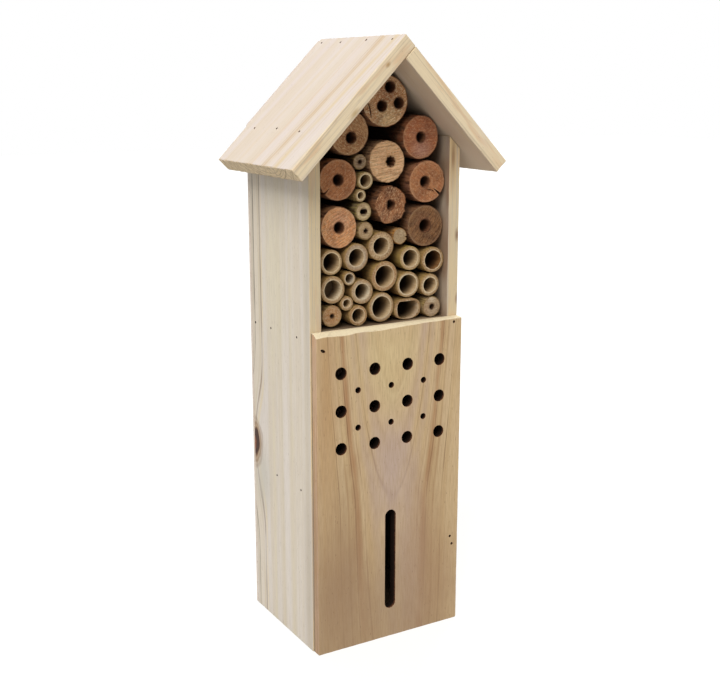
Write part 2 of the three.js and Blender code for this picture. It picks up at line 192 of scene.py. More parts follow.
def growth_rings(wood, look):
    """Distance from the pith in mm, counted from the look's start. It wanders, and knots pull it
    aside. A pith that dives draws the rings of the face out into arches."""
    tree = wood.tree
    wander = wood.cloud((220, 45, 45), seed=look["seed"])
    side = add(tree, "Math", {0: wander, 1: look["wander_mm"], 2: wood.axes[1]},
               operation="MULTIPLY_ADD")
    for knot in look["knots"]:
        near = wood.reach((knot["u"], knot["v"], 0), (knot["reach_mm"], knot["aside_mm"], THROUGH))
        pull = add(tree, "MapRange", {0: near, 1: SPREAD, 2: 0.0, 4: knot["pull_mm"]},
                   interpolation_type="SMOOTHSTEP")
        side = add(tree, "Math", {0: side, 1: pull}, operation="SUBTRACT")
    side = add(tree, "Math", {0: wood.axes[0], 1: look["lean"], 2: side}, operation="MULTIPLY_ADD")
    climb = add(tree, "Math", {0: wood.axes[0], 1: look["turn_u"]}, operation="SUBTRACT")
    slow = add(tree, "Math", {0: climb, 1: look["low_dive"]}, operation="MULTIPLY")
    fast = add(tree, "Math", {0: climb, 1: look["dive"]}, operation="MULTIPLY")
    dive = add(tree, "Math", {0: slow, 1: fast, 2: DIVE_BEND}, operation="SMOOTH_MAX")
    deep = add(tree, "Math", {0: dive, 1: wood.axes[2]})
    section = add(tree, "CombineXYZ", {0: side, 1: deep})
    pith = (*look["pith"], 0)
    radius = add(tree, "VectorMath", {0: section, 1: pith}, out="Value", operation="DISTANCE")
    return add(tree, "Math", {0: radius, 1: look["start"]})


def edge_grain(wood, look):
    """Edges of a board: warmer, with a blush here and there and close lines along them."""
    seed = look["seed"]
    edge = add(wood.tree, "MapRange", {0: wood.facing(look["across"]), 1: 0.5, 2: 0.75})
    wood.stain(look["edge"], wood.cloud((50, 50, 9), seed=seed + 9), 0.9, 0.1, 0.45, edge)
    wood.stain(EDGE_BLUSH, wood.cloud((40, 50, 6), seed=seed + 11), 0.4, 0.52, 0.66, edge)
    wood.stain(look["line"], wood.cloud((180, 60, 1.8), 3, seed + 8), 0.7, 0.5, 0.62, edge)


def bands_and_areas(wood, look, rings):
    """Stains that follow the growth rings, and stains at places, all with uneven borders."""
    uneven = wood.cloud((60, 12, 30), seed=look["seed"] + 6)
    for centre, width, code, strength in look["bands"]:
        drift = add(wood.tree, "Math", {0: uneven, 1: 2 * width, 2: wood.away(rings, centre)},
                    operation="MULTIPLY_ADD")
        wood.stain(code, drift, strength, 1.9 * width, 0.7 * width)
    for centre, size, code, strength in look["areas"]:
        drift = add(wood.tree, "Math", {0: uneven, 1: 0.8, 2: wood.reach(centre, size)},
                    operation="MULTIPLY_ADD")
        wood.stain(code, drift, strength, 2.2, 0.4)


def knotted(wood, knot):
    """A knot: dark heart, brown rings round it and a stained halo."""
    size = (knot["long_mm"], knot["wide_mm"], THROUGH)
    even = wood.reach((knot["u"], knot["v"], 0), size)
    distance = add(wood.tree, "Math", {0: wood.cloud((16, 9, 9), 1, knot["u"]), 1: 1.3, 2: even},
                   operation="MULTIPLY_ADD")
    distance = add(wood.tree, "Math", {0: distance, 1: 0.4}, operation="SUBTRACT")
    wood.stain(knot["halo"], distance, 0.85, 3.2, 1.4)
    for at, strength in ((2.1, 0.5), (2.7, 0.3)):
        wood.stain(knot["ring"], wood.away(distance, at), strength, 0.4, 0.0)
    wood.stain(knot["ring"], distance, 1.0, 1.9, 1.5)
    wood.stain(knot["core"], distance, 0.95, 1.7, 1.35)
    heart = wood.reach((knot["u"] - 2, knot["v"] + 3.5, 0), size)
    heart = add(wood.tree, "Math", {0: wood.cloud((4, 4, 4), 3), 1: 0.5, 2: heart},
                operation="MULTIPLY_ADD")
    wood.stain(knot["heart"], heart, 0.85, 1.2, 0.9)


def shaded_inner_face(wood, look):
    """Face inside the room or under the roof: browner, and darker away from the mouth, as painted
    shade.
    """
    # Painted shade: a browner inner colour, darkest far from the mouth.
    inside = add(wood.tree, "Math", {0: wood.axes[2], 1: look["inner_w"], 2: 0.3},
                 operation="COMPARE")
    browned = wood.cloud((60, 30, 9), seed=look["seed"] + 7)
    wood.stain(look["inner"], browned, 0.9, 0.2, 0.55, inside)
    wood.stain(PAINTED_DEPTH_SHADE, wood.away(wood.axes[1], look["mouth_v"]), 0.5, 8, 70, inside)


def planed_softwood(name, look):
    """Planed fir or pine: long fibres and growth rings along the board in pale and warm streaks,
    knots, and a darker torn end grain where it was sawn. Nearly matt, with a faint polish."""
    look = {**SOFTWOOD, **look}
    wood = Finish(name, 0.66, look["pale"], Specular_IOR_Level=0.3)
    seed = look["seed"]
    rings = growth_rings(wood, look)
    field = add(wood.tree, "CombineXYZ", {0: wood.axes[0], 1: rings, 2: wood.axes[2]})
    streak = look["streak_mm"]
    wood.stain(look["tint"], wood.cloud((300, 5 * streak, 90), seed=seed + 4, place=field),
               look["tints"])
    wood.stain(look["warm"], wood.cloud((480, streak, 90), 3, seed, field), look["streaks"])
    fine = wood.cloud((420, look["ring_mm"], 60), seed=seed + 1, place=field)
    wood.stain(look["line"], fine, look["lines"], 0.5, 0.72)
    if "edge" in look:
        edge_grain(wood, look)
    bands_and_areas(wood, look, rings)

    fibre = wood.cloud((13, 0.8, 0.8), 3, seed + 2)
    wood.stain(look["line"], fibre, look["fibres"], 0.4, 0.65)
    wood.stain(look["fleck"], wood.cloud((4.5, 0.8, 0.8), 1, seed + 3), look["flecks"], 0.66, 0.76)
    for knot in look["knots"]:
        knotted(wood, knot)
    if "inner_w" in look:
        shaded_inner_face(wood, look)

    sawn = wood.facing(look["along"])
    torn = wood.cloud((3.0, 1.8, 5.0), 4, seed + 5, grit=0.75)
    wood.stain(look["end"], sawn, 0.9, 0.35, 0.6)
    from_pith = wood.reach(SAWN_PITH, (THROUGH, 1, 1))
    arcs = add(wood.tree, "CombineXYZ", {0: from_pith})
    arcs = wood.cloud((1.8, 9, 9), 3, seed + 10, arcs)
    wood.stain(look["fleck"], arcs, look["torn"], 0.46, 0.66, where=sawn)
    wood.stain(look["fleck"], torn, look["torn"], 0.44, 0.7, where=sawn)
    height = add(wood.tree, "Mix", {0: sawn, 2: fibre, 3: torn})
    return wood.finished(height, 0.25)


# Blotches on the plywood as height, place across, their sizes in mm, colour and strength
PLY_AREAS = (
    (322.0, 12.0, 30.0, 20.0, "#A08578", 0.6), (265.0, 26.0, 20.0, 12.0, "#A78875", 0.55),
    (150.0, 20.0, 45.0, 30.0, "#A98377", 0.5), (58.0, -26.0, 10.0, 1.2, "#6B4536", 0.9),
    (300.0, -50.0, 90.0, 9.0, "#B98972", 0.6), (90.0, -48.0, 60.0, 8.0, "#AD7F6B", 0.6),
)

# Depths of the plywood's glue lines, in mm
PLY_SEAMS = (1.0, 2.0)


def rotary_cut_plywood():
    """Thin plywood with a rotary-cut tropical face: pinkish brown, full of short pores along the
    sheet, with cloudy darker patches and pale splintered edges, made paler still by a painted
    highlight."""
    ply = Finish("rotary_cut_plywood", 0.7, "#E6C9BE", Specular_IOR_Level=0.3)
    ply.stain("#AB8674", ply.axes[0], 0.9, 450, -10)
    ply.stain("#CBA394", ply.cloud((230, 50, 20), seed=1.0), 0.7)
    ply.stain("#C79F86", ply.cloud((75, 30, 20), 3, 2.0), 0.6, 0.46, 0.68)
    ply.stain("#B08D7F", ply.cloud((46, 24, 20), 4, 5.0, grit=0.7), 0.55, 0.5, 0.72)
    for u, v, u_size, v_size, code, strength in PLY_AREAS:
        uneven = ply.cloud((12, 9, 20), 3, u)
        even = ply.reach((u, v, 0), (u_size, v_size, THROUGH))
        rough = add(ply.tree, "Math", {0: uneven, 1: 1.6, 2: even}, operation="MULTIPLY_ADD")
        ply.stain(code, rough, strength, 2.2, 0.6)
    ply.stain("#DDC4BA", ply.cloud((190, 3.5, 20), 3, 3.0), 0.2)
    ply.stain("#9A6E5E", ply.cloud((15, 1.0, 9), 2, 7.0), 0.36, 0.45, 0.64)
    ply.stain("#F1DED5", ply.cloud((13, 1.1, 9), 2, 9.0), 0.36, 0.48, 0.65)
    pores = ply.cloud((5.5, 1.0, 9), 2, 11.0)
    ply.stain("#7E5546", pores, 0.45, 0.55, 0.7)
    side = ply.facing((0, 1, 0))
    edge = add(ply.tree, "MapRange", {0: side, 1: 0.75, 2: 0.4})
    # The pale edge is the sheet's paler core and a painted highlight.
    ply.stain("#EEE4D6", edge, 0.95, 0.0, 1.0)
    for seam in PLY_SEAMS:
        ply.stain("#8E6450", ply.away(ply.axes[2], seam), 0.7, 0.35, 0.0, where=edge)
    ply.stain("#B08C72", ply.cloud((3, 2, 2), 3), 0.4, 0.54, 0.68, where=edge)
    return ply.finished(pores, 0.15)


def shaded_drilled_wood():
    """Wood inside a drilled hole: a dark brown, with painted shade that turns it nearly black
    further in, and torn fibres; quite matt."""
    wood = Finish("shaded_drilled_wood", 0.9, "#74492F", Specular_IOR_Level=0.15)
    torn = wood.cloud((1.6, 1.6, 2.6), 3)
    wood.stain("#3E2518", torn, 0.8)
    # Painted shade: nearly black further into the hole.
    wood.stain("#140C07", wood.axes[2], 0.95, 0.2, 2.6)
    return wood.finished(torn, 0.2)


def dulled_steel(name, base, patch, roughness):
    """Drawn steel wire that has dulled: a metal with a soft sheen and patches of another tone."""
    steel = Finish(name, roughness, base, Metallic=1.0)
    worn = steel.cloud((1.1, 1.1, 1.1), seed=2.0)
    steel.stain(patch, worn, 0.6)
    return steel.finished(worn, 0.03)


# Stick finishes. Painted shade darkens the sticks away from their sawn ends.

# Distances that each point of a stick stores for its finishes
FROM_RIM = "from_rim_mm"
FROM_BORE = "from_bore_mm"


def spotted(finish, look):
    """Stains at places of a stick's sawn face."""
    for x, z, size, code, strength in look.get("areas", ()):
        finish.stain(code, finish.reach((x, 0, z), (size, THROUGH, size)), strength, SPREAD, 0.0)


def sawn_hardwood(name, look):
    """Sawn end of a tropical branch or stem: brown and matt, speckled with pale torn fibres and
    dark pores, with saw scratches, faint growth rings and a thin rim of bark."""
    wood = Finish(name, 0.85, look["face"], Specular_IOR_Level=0.2)
    seed = look["seed"]
    rim = add(wood.tree, "Attribute", out="Fac", attribute_name=FROM_RIM)
    bore = add(wood.tree, "Attribute", out="Fac", attribute_name=FROM_BORE)

    wood.stain(look["warm"], wood.cloud((9, 9, 9), seed=seed), 0.8)
    wood.stain(look["dark"], wood.cloud((13, 13, 13), 3, seed + 1), 0.6, 0.48, 0.66)
    spotted(wood, look)
    uneven = wood.cloud((6, 6, 6), seed=seed + 2)
    x, z = look["pith"]
    radius = wood.reach((x, 0, z), (1, THROUGH, 1))
    radius = add(wood.tree, "Math", {0: uneven, 1: 2.5, 2: radius}, operation="MULTIPLY_ADD")
    circles = add(wood.tree, "CombineXYZ", {0: radius})
    wood.stain(look["dark"], wood.cloud((1.3, 9, 9), 2, seed, circles), look["rings"], 0.45, 0.65)

    # Pores and scratches are drawn about twice as coarse as they are, so that they show.
    turned = add(wood.tree, "VectorRotate",
                 {"Vector": wood.place, "Angle": math.radians(look["saw_angle"])},
                 rotation_type="Y_AXIS")
    saw = wood.cloud((14, 14, 1.2), 4, seed + 3, turned, 0.65)
    wood.stain(look["dark"], saw, look["saw"], 0.42, 0.62)
    pale = wood.cloud((2.2, 2.2, 1.4), 4, seed + 4, turned, 0.85)
    wood.stain(look["pale"], pale, look["speckle"], 0.46, 0.68)
    pores = wood.cloud((2.6, 2.6, 1.8), 4, seed + 5, grit=0.85)
    wood.stain(look["bark"], pores, look["pits"], 0.5, 0.7)

    wood.stain(look["sap"], rim, 0.6, 2.8, 0.8, where=uneven)
    wood.stain(look["edge"], rim, 0.85, 1.1, 0.4)
    wood.stain(look["bark"], bore, 0.6, 1.3, 0.1)
    height = add(wood.tree, "Math", {0: pale, 1: -1.0, 2: pores}, operation="MULTIPLY_ADD")
    return wood.finished(height, 0.7, 0.7)


def rough_bark(name, look):
    """Flank of a branch or stem: fibrous bark that runs along it, brown and quite matt."""
    bark = Finish(name, 0.88, look["flank"], Specular_IOR_Level=0.15)
    fibre = bark.cloud((1.6, 16, 1.6), 3, look["seed"])
    bark.stain(look["bark"], fibre, 0.85)
    bark.stain(look["warm"], bark.cloud((5, 9, 5), seed=look["seed"] + 3), 0.4)
    # Painted shade: darker further back along the flank, among the other sticks.
    bark.stain(PAINTED_DEPTH_SHADE, bark.axes[1], 0.85, 2, 21)
    return bark.finished(fibre, 0.9, 0.8)


def cut_bamboo(name, look):
    """Cut end of a bamboo cane: a woody ring, pale at the bore and darker outwards, with dark and
    pale fibre ends, a thin brown rind and a soft sheen."""
    cane = Finish(name, 0.6, look["face"], Specular_IOR_Level=0.35)
    seed = look["seed"]
    rim = add(cane.tree, "Attribute", out="Fac", attribute_name=FROM_RIM)
    bore = add(cane.tree, "Attribute", out="Fac", attribute_name=FROM_BORE)
    cane.stain(look["warm"], cane.cloud((7, 7, 7), seed=seed), 0.8)
    spotted(cane, look)
    cane.stain(look["dark"], rim, 0.8, 3.0, 0.4)
    dots = cane.cloud((1.3, 9, 1.3), 2, seed + 1)
    cane.stain(look["rind"], dots, look["dots"], 0.5, 0.66)
    cane.stain(look["pale"], cane.cloud((1.5, 9, 1.5), 2, seed + 2), 0.35, 0.5, 0.66)
    cane.stain(look["rind"], rim, 0.75, 0.8, 0.25)
    cane.stain(look["pale"], bore, 0.6, 1.0, 0.2)
    return cane.finished(dots, 0.4)


def bamboo_rind(name, look):
    """Flank of a cane: hard rind in yellow brown, streaked along it, with a low shine."""
    rind = Finish(name, 0.42, look["flank"])
    streak = rind.cloud((1.4, 40, 1.4), 3, look["seed"])
    rind.stain(look["rind"], streak, 0.5)
    rind.stain(look["dark"], rind.cloud((6, 14, 6), seed=look["seed"] + 2), 0.4)
    # Painted shade: darker further back along the flank, among the other sticks.
    rind.stain(PAINTED_DEPTH_SHADE, rind.axes[1], 0.8, 2, 21)
    return rind.finished(streak, 0.1)


def hollow_inside(name, look):
    """Inside of a cane, a drilled log or a stem's pith: dull, streaked along the bore, and darker
    further in as painted shade."""
    hollow = Finish(name, 0.75, look["hollow"], Specular_IOR_Level=0.25)
    streak = hollow.cloud((1.3, 22, 1.3), 3, look["seed"] + 7)
    hollow.stain(look["deep"], streak, 0.5)
    # Painted shade: darker further into the bore.
    hollow.stain(look["deep"], hollow.axes[1], 0.7, 0.5, 8)
    hollow.stain(PAINTED_DEPTH_SHADE, hollow.axes[1], 0.95, 1.5, 19)
    return hollow.finished(streak, 0.15)


# Mesh helpers

# Length of the waves along a ragged outline, in mm
RAG_MM = 1.5


def new_piece(name, points, faces, materials, slots=None, place=None, smooth=False):
    """An object from points in millimetres, with a material for each of its face slots."""
    mesh = bpy.data.meshes.new(name)
    mesh.from_pydata((np.asarray(points, float) * MM).tolist(), [], faces)
    for material in materials:
        mesh.materials.append(material)
    if slots is not None:
        mesh.polygons.foreach_set("material_index", slots)
    mesh.polygons.foreach_set("use_smooth", [smooth] * len(mesh.polygons))
    mesh.update()
    piece = bpy.data.objects.new(name, mesh)
    bpy.context.scene.collection.objects.link(piece)
    if place is not None:
        piece.matrix_world = place
    return piece


def sharpen(piece, degrees):
    """Marks the edges that turn by more than an angle as sharp."""
    shape = bmesh.new()
    shape.from_mesh(piece.data)
    limit = math.radians(degrees)
    for edge in shape.edges:
        edge.smooth = len(edge.link_faces) == 2 and edge.calc_face_angle(0) < limit
    shape.to_mesh(piece.data)
    shape.free()


def flatten(piece):
    """Splits warped faces into flat triangles, so that a cut through them leaves no strays."""
    shape = bmesh.new()
    shape.from_mesh(piece.data)
    bmesh.ops.triangulate(shape, faces=shape.faces)
    shape.to_mesh(piece.data)
    shape.free()


def joined(parts):
    """Points and faces of several shapes as one list of each."""
    points, faces = [], []
    for shape_points, shape_faces in parts:
        start = len(points)
        points.extend(shape_points)
        faces.extend([[start + i for i in face] for face in shape_faces])
    return points, faces


def cut_out(piece, cuts, materials, slot, place):
    """Takes shapes that don't overlap out of a piece for good. Cut faces get that slot."""
    points, faces = joined(cuts)
    cutter = new_piece(f"{piece.name}_cuts", points, faces, materials, [slot] * len(faces), place)
    cutting = piece.modifiers.new(cutter.name, "BOOLEAN")
    cutting.operation = "DIFFERENCE"
    cutting.solver = "EXACT"
    cutting.object = cutter
    bpy.context.view_layer.update()
    graph = bpy.context.evaluated_depsgraph_get()
    mesh = bpy.data.meshes.new_from_object(piece.evaluated_get(graph))
    piece.modifiers.clear()
    if not mesh.polygons:
        raise ValueError(f"{piece.name}: its cuts left nothing")
    spare = (piece.data, cutter.data)
    piece.data = mesh
    bpy.data.objects.remove(cutter)
    for old in spare:
        bpy.data.meshes.remove(old)
    mesh.name = piece.name


def loft(rows, count):
    """Faces of a closed shape whose points lie in rows: its sides row by row, then its two ends."""
    faces = []
    for row in range(rows - 1):
        near, far = row * count, (row + 1) * count
        for i in range(count):
            ahead = (i + 1) % count
            faces.append([near + i, near + ahead, far + ahead, far + i])
    faces.append(list(range(count))[::-1])
    faces.append([(rows - 1) * count + i for i in range(count)])
    return faces


def prism(outline, start, end, axis):
    """Straight prism of an outline given in the two axes that follow the prism's own."""
    outline = np.asarray(outline, float)
    ahead = np.roll(outline, -1, axis=0)
    area = (outline[:, 0] * ahead[:, 1] - outline[:, 1] * ahead[:, 0]).sum()
    if area < 0:
        outline = outline[::-1]
    count = len(outline)
    points = np.zeros((2 * count, 3))
    for ring, along in enumerate((start, end)):
        rows = slice(ring * count, (ring + 1) * count)
        points[rows, axis] = along
        points[rows, (axis + 1) % 3] = outline[:, 0]
        points[rows, (axis + 2) % 3] = outline[:, 1]
    return points.tolist(), loft(2, count)


def circle(centre, radius, sides=20):
    """Outline of a round hole."""
    turns = np.arange(sides) * 2 * math.pi / sides
    return np.asarray(centre) + radius * np.column_stack([np.cos(turns), np.sin(turns)])


def ripple(point, size_mm, seed=0.0):
    """Smooth noise from -1 to 1 at a point in millimetres."""
    return noise.noise(Vector(point) / size_mm + Vector((seed, 3.7 * seed, -seed)))


def ragged(outline, amount):
    """An outline whose points are moved a little out of true."""
    return [(a + amount * ripple((a, b, 1), RAG_MM), b + amount * ripple((a, b, 7), RAG_MM))
            for a, b in outline]


def outline_loops(node):
    """Closed loops of a straight CAD solid's near face, the largest first, as arrays of x and z
    in mm, and the depths y of all its points."""
    shape = bmesh.new()
    shape.from_mesh(frame["nodes"][node].data)
    bmesh.ops.remove_doubles(shape, verts=shape.verts, dist=TINY)
    near = min(v.co.y for v in shape.verts)
    beside = {}
    for edge in shape.edges:
        flat = all(abs(v.co.y - near) < TINY for v in edge.verts)
        if flat and any(abs(f.normal.y) < 0.9 for f in edge.link_faces):
            for vert, other in (edge.verts, reversed(edge.verts)):
                beside.setdefault(vert, []).append(other)
    loops = []
    while beside:
        here = next(iter(beside))
        loop = []
        while here is not None:
            loop.append((here.co.x / MM, here.co.z / MM))
            here = next((v for v in beside.pop(here) if v in beside), None)
        loops.append(np.array(loop))
    depths = sorted({round(v.co.y / MM, 3) for v in shape.verts})
    shape.free()
    size = [np.ptp(loop, axis=0).max() for loop in loops]
    order = np.argsort(size)[::-1]
    return [loops[i] for i in order], depths


def divided(outline, step):
    """An outline with more points on its sides, about a step apart."""
    dense = []
    for a, b in zip(outline, np.roll(outline, -1, axis=0)):
        count = max(1, round(np.linalg.norm(b - a) / step))
        dense.extend(a + (b - a) * i / count for i in range(count))
    return np.array(dense)


def belongs(piece, slot, *nodes):
    """A piece rides on the one body and may stand for CAD nodes. Its slot is not used."""
    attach(piece, BODY)
    if nodes:
        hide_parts(*nodes)


# Planks

def stations(length, radius, step):
    """Places along a board: close together on its eased edges and evenly spaced between."""
    count = max(1, round((length - 2 * radius) / step))
    middle = np.linspace(radius, length - radius, count + 1)
    eased = np.array([0, 0.3 * radius])
    return np.concatenate([eased, middle, (length - eased)[::-1]])


def skin(us, vs, ws):
    """Points and outward faces of the surface of a box that is divided at these stations."""
    index, points, faces = {}, [], []
    axes = (us, vs, ws)

    def vertex(key):
        """Number of the point at these stations, which is added where it is new."""
        if key not in index:
            index[key] = len(points)
            points.append([axes[n][key[n]] for n in range(3)])
        return index[key]

    for fixed in range(3):
        first, second = (fixed + 1) % 3, (fixed + 2) % 3
        for at in (0, len(axes[fixed]) - 1):
            for i in range(len(axes[first]) - 1):
                for j in range(len(axes[second]) - 1):
                    ring = []
                    for di, dj in ((0, 0), (1, 0), (1, 1), (0, 1)):
                        key = [0, 0, 0]
                        key[fixed], key[first], key[second] = at, i + di, j + dj
                        ring.append(vertex(tuple(key)))
                    faces.append(ring if at else ring[::-1])
    return np.array(points, float), faces


class Plank:
    """A board in its own frame: u along its grain, v across it and w through its thickness."""

    def __init__(self, origin, along, across, size, radius=0.7, step=(8, 6, 5), chips=0.35,
                 seed=1.0):
        self.origin = np.asarray(origin, float)
        self.axes = np.array([along, across, np.cross(along, across)], float)
        self.size = np.asarray(size, float)
        flat, self.faces = skin(*(stations(s, radius, d) for s, d in zip(size, step)))
        inner = np.clip(flat, radius, self.size - radius)
        away = flat - inner
        length = np.maximum(np.linalg.norm(away, axis=1, keepdims=True), TINY)
        arris = (np.abs(away) > TINY).sum(axis=1) > 1
        worn = [max(0.0, ripple(p, 5, seed) + 0.3 * ripple(p, 1.7, seed)) for p in flat]
        reach = radius - chips * np.array(worn) * arris
        self.points = inner + away / length * reach[:, None]
        self.flat = flat

    def local(self, point):
        """A point of the frame in the board's own coordinates."""
        return self.axes @ (np.asarray(point, float) - self.origin)

    def place(self):
        """Matrix that lays the board in the frame."""
        matrix = Matrix(self.axes.T.tolist()).to_4x4()
        matrix.translation = Vector(self.origin * MM)
        return matrix

    def made(self, name, slot, materials, cuts=()):
        """Adds the object that stands for a CAD node, less its cuts. Cut faces get the last
        material."""
        place = self.place()
        piece = new_piece(f"{name}_dressed", self.points, self.faces, materials, place=place)
        if cuts:
            cut_out(piece, cuts, materials, len(materials) - 1, place)
        belongs(piece, slot, name)


# Looks of the single boards. Side -1 is the left one and side 1 the right one.

# Its inner colour is painted shade on the face inside the room.
SIDE_LOOK = {
    "pale": "#E4DACF", "warm": "#DCCFBA", "tint": "#DAD0C6", "line": "#BFB19F",
    "fleck": "#95836C", "end": "#C9B58C", "edge": "#E6C991", "streak_mm": 9.0, "wander_mm": 2.5,
    "along": (0, 0, 1), "across": (0, 1, 0), "lines": 0.2, "pith": (-260, 40), "start": -263.0,
    "inner": "#86684E", "mouth_v": 0.0,
}

# Knot near the back edge of a side panel, and how far it pulls the grain aside
SIDE_KNOT = {
    "u": 149.0, "v": 99.5, "long_mm": 9.0, "wide_mm": 5.0, "reach_mm": 54.0, "aside_mm": 16.0,
    "pull_mm": 16.0, "halo": "#B79B7A", "ring": "#7B5A40", "core": "#3A2116",
    "heart": "#8A4E2A",
}
SIDE_BANDS = (
    (95.5, 1.2, "#3E342B", 0.9), (98.0, 2.0, "#AB9C86", 0.5), (83.5, 1.5, "#7E5C3A", 0.85),
    (86.5, 2.4, "#CDBD9D", 0.6), (80.8, 1.6, "#E3D0A6", 0.7), (64.0, 4.0, "#DFD3B6", 0.5),
    (32.0, 5.0, "#DDD0B0", 0.5), (49.0, 3.0, "#D3C5A6", 0.4),
)

# Dark joint with the plywood along the back edge
BACK_JOINT = ((0.0, 102.0, 0), (THROUGH, 0.9, THROUGH), "#4A3626", 0.6)
SIDE_AREAS = (
    ((330.0, 3.0, 0), (60.0, 6.0, THROUGH), "#C1B9AA", 0.5),
    ((230.0, 4.0, 0), (60.0, 5.0, THROUGH), "#C3B8A6", 0.5),
    ((60.0, 5.0, 0), (90.0, 7.0, THROUGH), "#B7AB9C", 0.55),
    BACK_JOINT,
    ((122.0, 86.0, 0), (24.0, 12.0, THROUGH), "#CBC5B8", 0.8),
    ((300.0, 60.0, 0), (70.0, 18.0, THROUGH), "#E0D6B8", 0.5),
)

# Small resin spots on the right panel's front edge
RIGHT_AREAS = (
    ((387.0, 0.0, 6.5), (8.0, 4.0, 1.5), "#7A5132", 0.85),
    ((384.0, 0.0, 6.5), (22.0, 6.0, 3.0), "#B08A5E", 0.55),
    ((326.0, 0.0, 1.5), (4.5, 3.0, 1.8), "#7A5132", 0.9),
    ((275.0, 0.0, 0.5), (4.0, 3.0, 1.4), "#7E5535", 0.9),
)
SIDE_LOOKS = {
    -1: {"seed": 4.0, "areas": SIDE_AREAS},
    1: {"seed": 2.0, "areas": SIDE_AREAS + RIGHT_AREAS, "pale": "#E6DACB", "warm": "#E0CDAE",
        "tint": "#DACEC0"},
}
# Its inner colour is painted shade on the underside.
ROOF_LOOK = {
    "pale": "#E3D7CE", "warm": "#DDCDB8", "tint": "#DDCDC4", "line": "#C9B69A",
    "fleck": "#7D5F3A", "end": "#E8D0A8", "edge": "#EED9B4", "streak_mm": 11.0,
    "across": (0, 1, 0), "lines": 0.2, "fibres": 0.16, "flecks": 0.3, "torn": 0.65,
    "pith": (-300, 60), "start": -306.0, "inner_w": 12.0, "inner": "#D6C0A8",
}

# Resin specks on the left roof board's gable edge
ROOF_SPECKS = (
    ((26.0, 0.0, 5.0), (2.2, 3.0, 1.3), "#A67A3E", 0.8),
    ((69.0, 0.0, 9.0), (4.0, 3.0, 1.5), "#B5935A", 0.7),
)
ROOF_SIDE_LOOKS = {
    -1: {"seed": 11.0, "lean": -0.12, "mouth_v": 0.0, "areas": ROOF_SPECKS, "bands": (
        (5.0, 1.0, "#D3BD93", 0.6), (12.0, 5.5, "#DCC59A", 0.85), (17.0, 0.7, "#CDB284", 0.7),
        (27.0, 0.9, "#C9A97B", 0.85), (30.5, 4.5, "#CFB289", 0.95), (34.5, 0.7, "#B9935F", 0.9),
        (52.0, 4.5, "#D9C0A0", 0.75), (57.0, 0.7, "#D2B795", 0.6), (76.0, 6.0, "#DFCDB4", 0.5),
        (97.0, 0.9, "#D6BFA2", 0.5))},
    1: {"seed": 17.0, "pale": "#EADCCB", "warm": "#E3CDA2", "tint": "#E4D2B8",
        "lean": -0.06, "mouth_v": 130.0,
        "bands": (
            (2.0, 4.0, "#D9B384", 0.7), (10.0, 4.0, "#EDE0D0", 0.85), (25.0, 12.0, "#E9D29C", 0.85),
            (18.0, 1.0, "#D3AC74", 0.55), (36.0, 1.0, "#CB9F6C", 0.7), (39.5, 0.8, "#CB9F6C", 0.5),
            (43.0, 0.9, "#D0A672", 0.7), (50.0, 8.0, "#DEBF8E", 0.8), (57.5, 0.8, "#CB9F6C", 0.5),
            (60.5, 0.8, "#C89A66", 0.6), (63.5, 0.8, "#C89A66", 0.7), (67.0, 0.8, "#CB9F6C", 0.6),
            (72.0, 4.0, "#EDE0D2", 0.8), (82.0, 8.0, "#DAB886", 0.8), (99.0, 7.0, "#EEE2D6", 0.8),
            (108.0, 1.2, "#D6B080", 0.6), (118.0, 4.0, "#DFC49C", 0.7))},
}

# Painted shade of the gap in the joint with the side panels, along the ends of the front board's
# back
FRONT_JOINT_SHADE = ((0.0, 0.0, 8.0), (THROUGH, THROUGH, 1.3), "#3E2C1E", 0.9)
FRONT_LOOK = {
    "pale": "#DBC196", "warm": "#CEB083", "tint": "#C8AA86", "line": "#9F7D57",
    "fleck": "#6A4428", "end": "#EEDFBC", "edge": "#CDAE94", "torn": 0.12, "streak_mm": 4.0,
    "along": (0, 0, 1), "across": (1, 0, 0), "seed": 2.0, "lines": 0.28, "wander_mm": 6.0,
    "pith": (71.0, 40.0), "dive": 0.136, "low_dive": 0.03, "turn_u": 125.0, "flecks": 0.55,
    "fibres": 0.3,
    "bands": (
        (40.0, 0.65, "#8C6746", 0.75), (43.0, 3.5, "#BFA48B", 0.6), (36.0, 5.0, "#C0A595", 0.6),
        (51.0, 4.0, "#A06A40", 0.75), (52.5, 0.7, "#79502F", 0.8), (47.5, 0.5, "#93683F", 0.6),
        (62.5, 0.55, "#7E5F40", 0.8), (57.0, 1.2, "#A07A50", 0.5), (29.0, 3.0, "#CDB68C", 0.5),
    ),
    "areas": (
        ((135.0, 68.0, 0), (40.0, 20.0, THROUGH), "#C3AB9B", 0.8),
        ((50.0, 88.0, 0), (70.0, 14.0, THROUGH), "#BDA290", 0.75),
        ((60.0, 20.0, 0), (75.0, 24.0, THROUGH), "#A18060", 0.8),
        ((20.0, 66.0, 0), (55.0, 80.0, THROUGH), "#A3866B", 0.6),
        ((70.0, 105.0, 0), (80.0, 18.0, THROUGH), "#A6825E", 0.6),
        ((235.0, 62.0, 0), (28.0, 24.0, THROUGH), "#DCC594", 0.6),
        ((200.0, 8.0, 0), (80.0, 9.0, THROUGH), "#B98F61", 0.6),
        FRONT_JOINT_SHADE,
    ),
}
# Its inner colour is painted shade on the face inside the room.
INNER_LOOK = {
    "pale": "#C2AD8F", "warm": "#B39A78", "tint": "#B09674", "line": "#957C5C",
    "fleck": "#6E563C", "end": "#B89C70", "along": (1, 0, 0), "seed": 8.0, "pith": (30, -50),
    "inner_w": 10.0, "inner": "#5E4834", "mouth_v": 0.0,
}

# Sunk brads

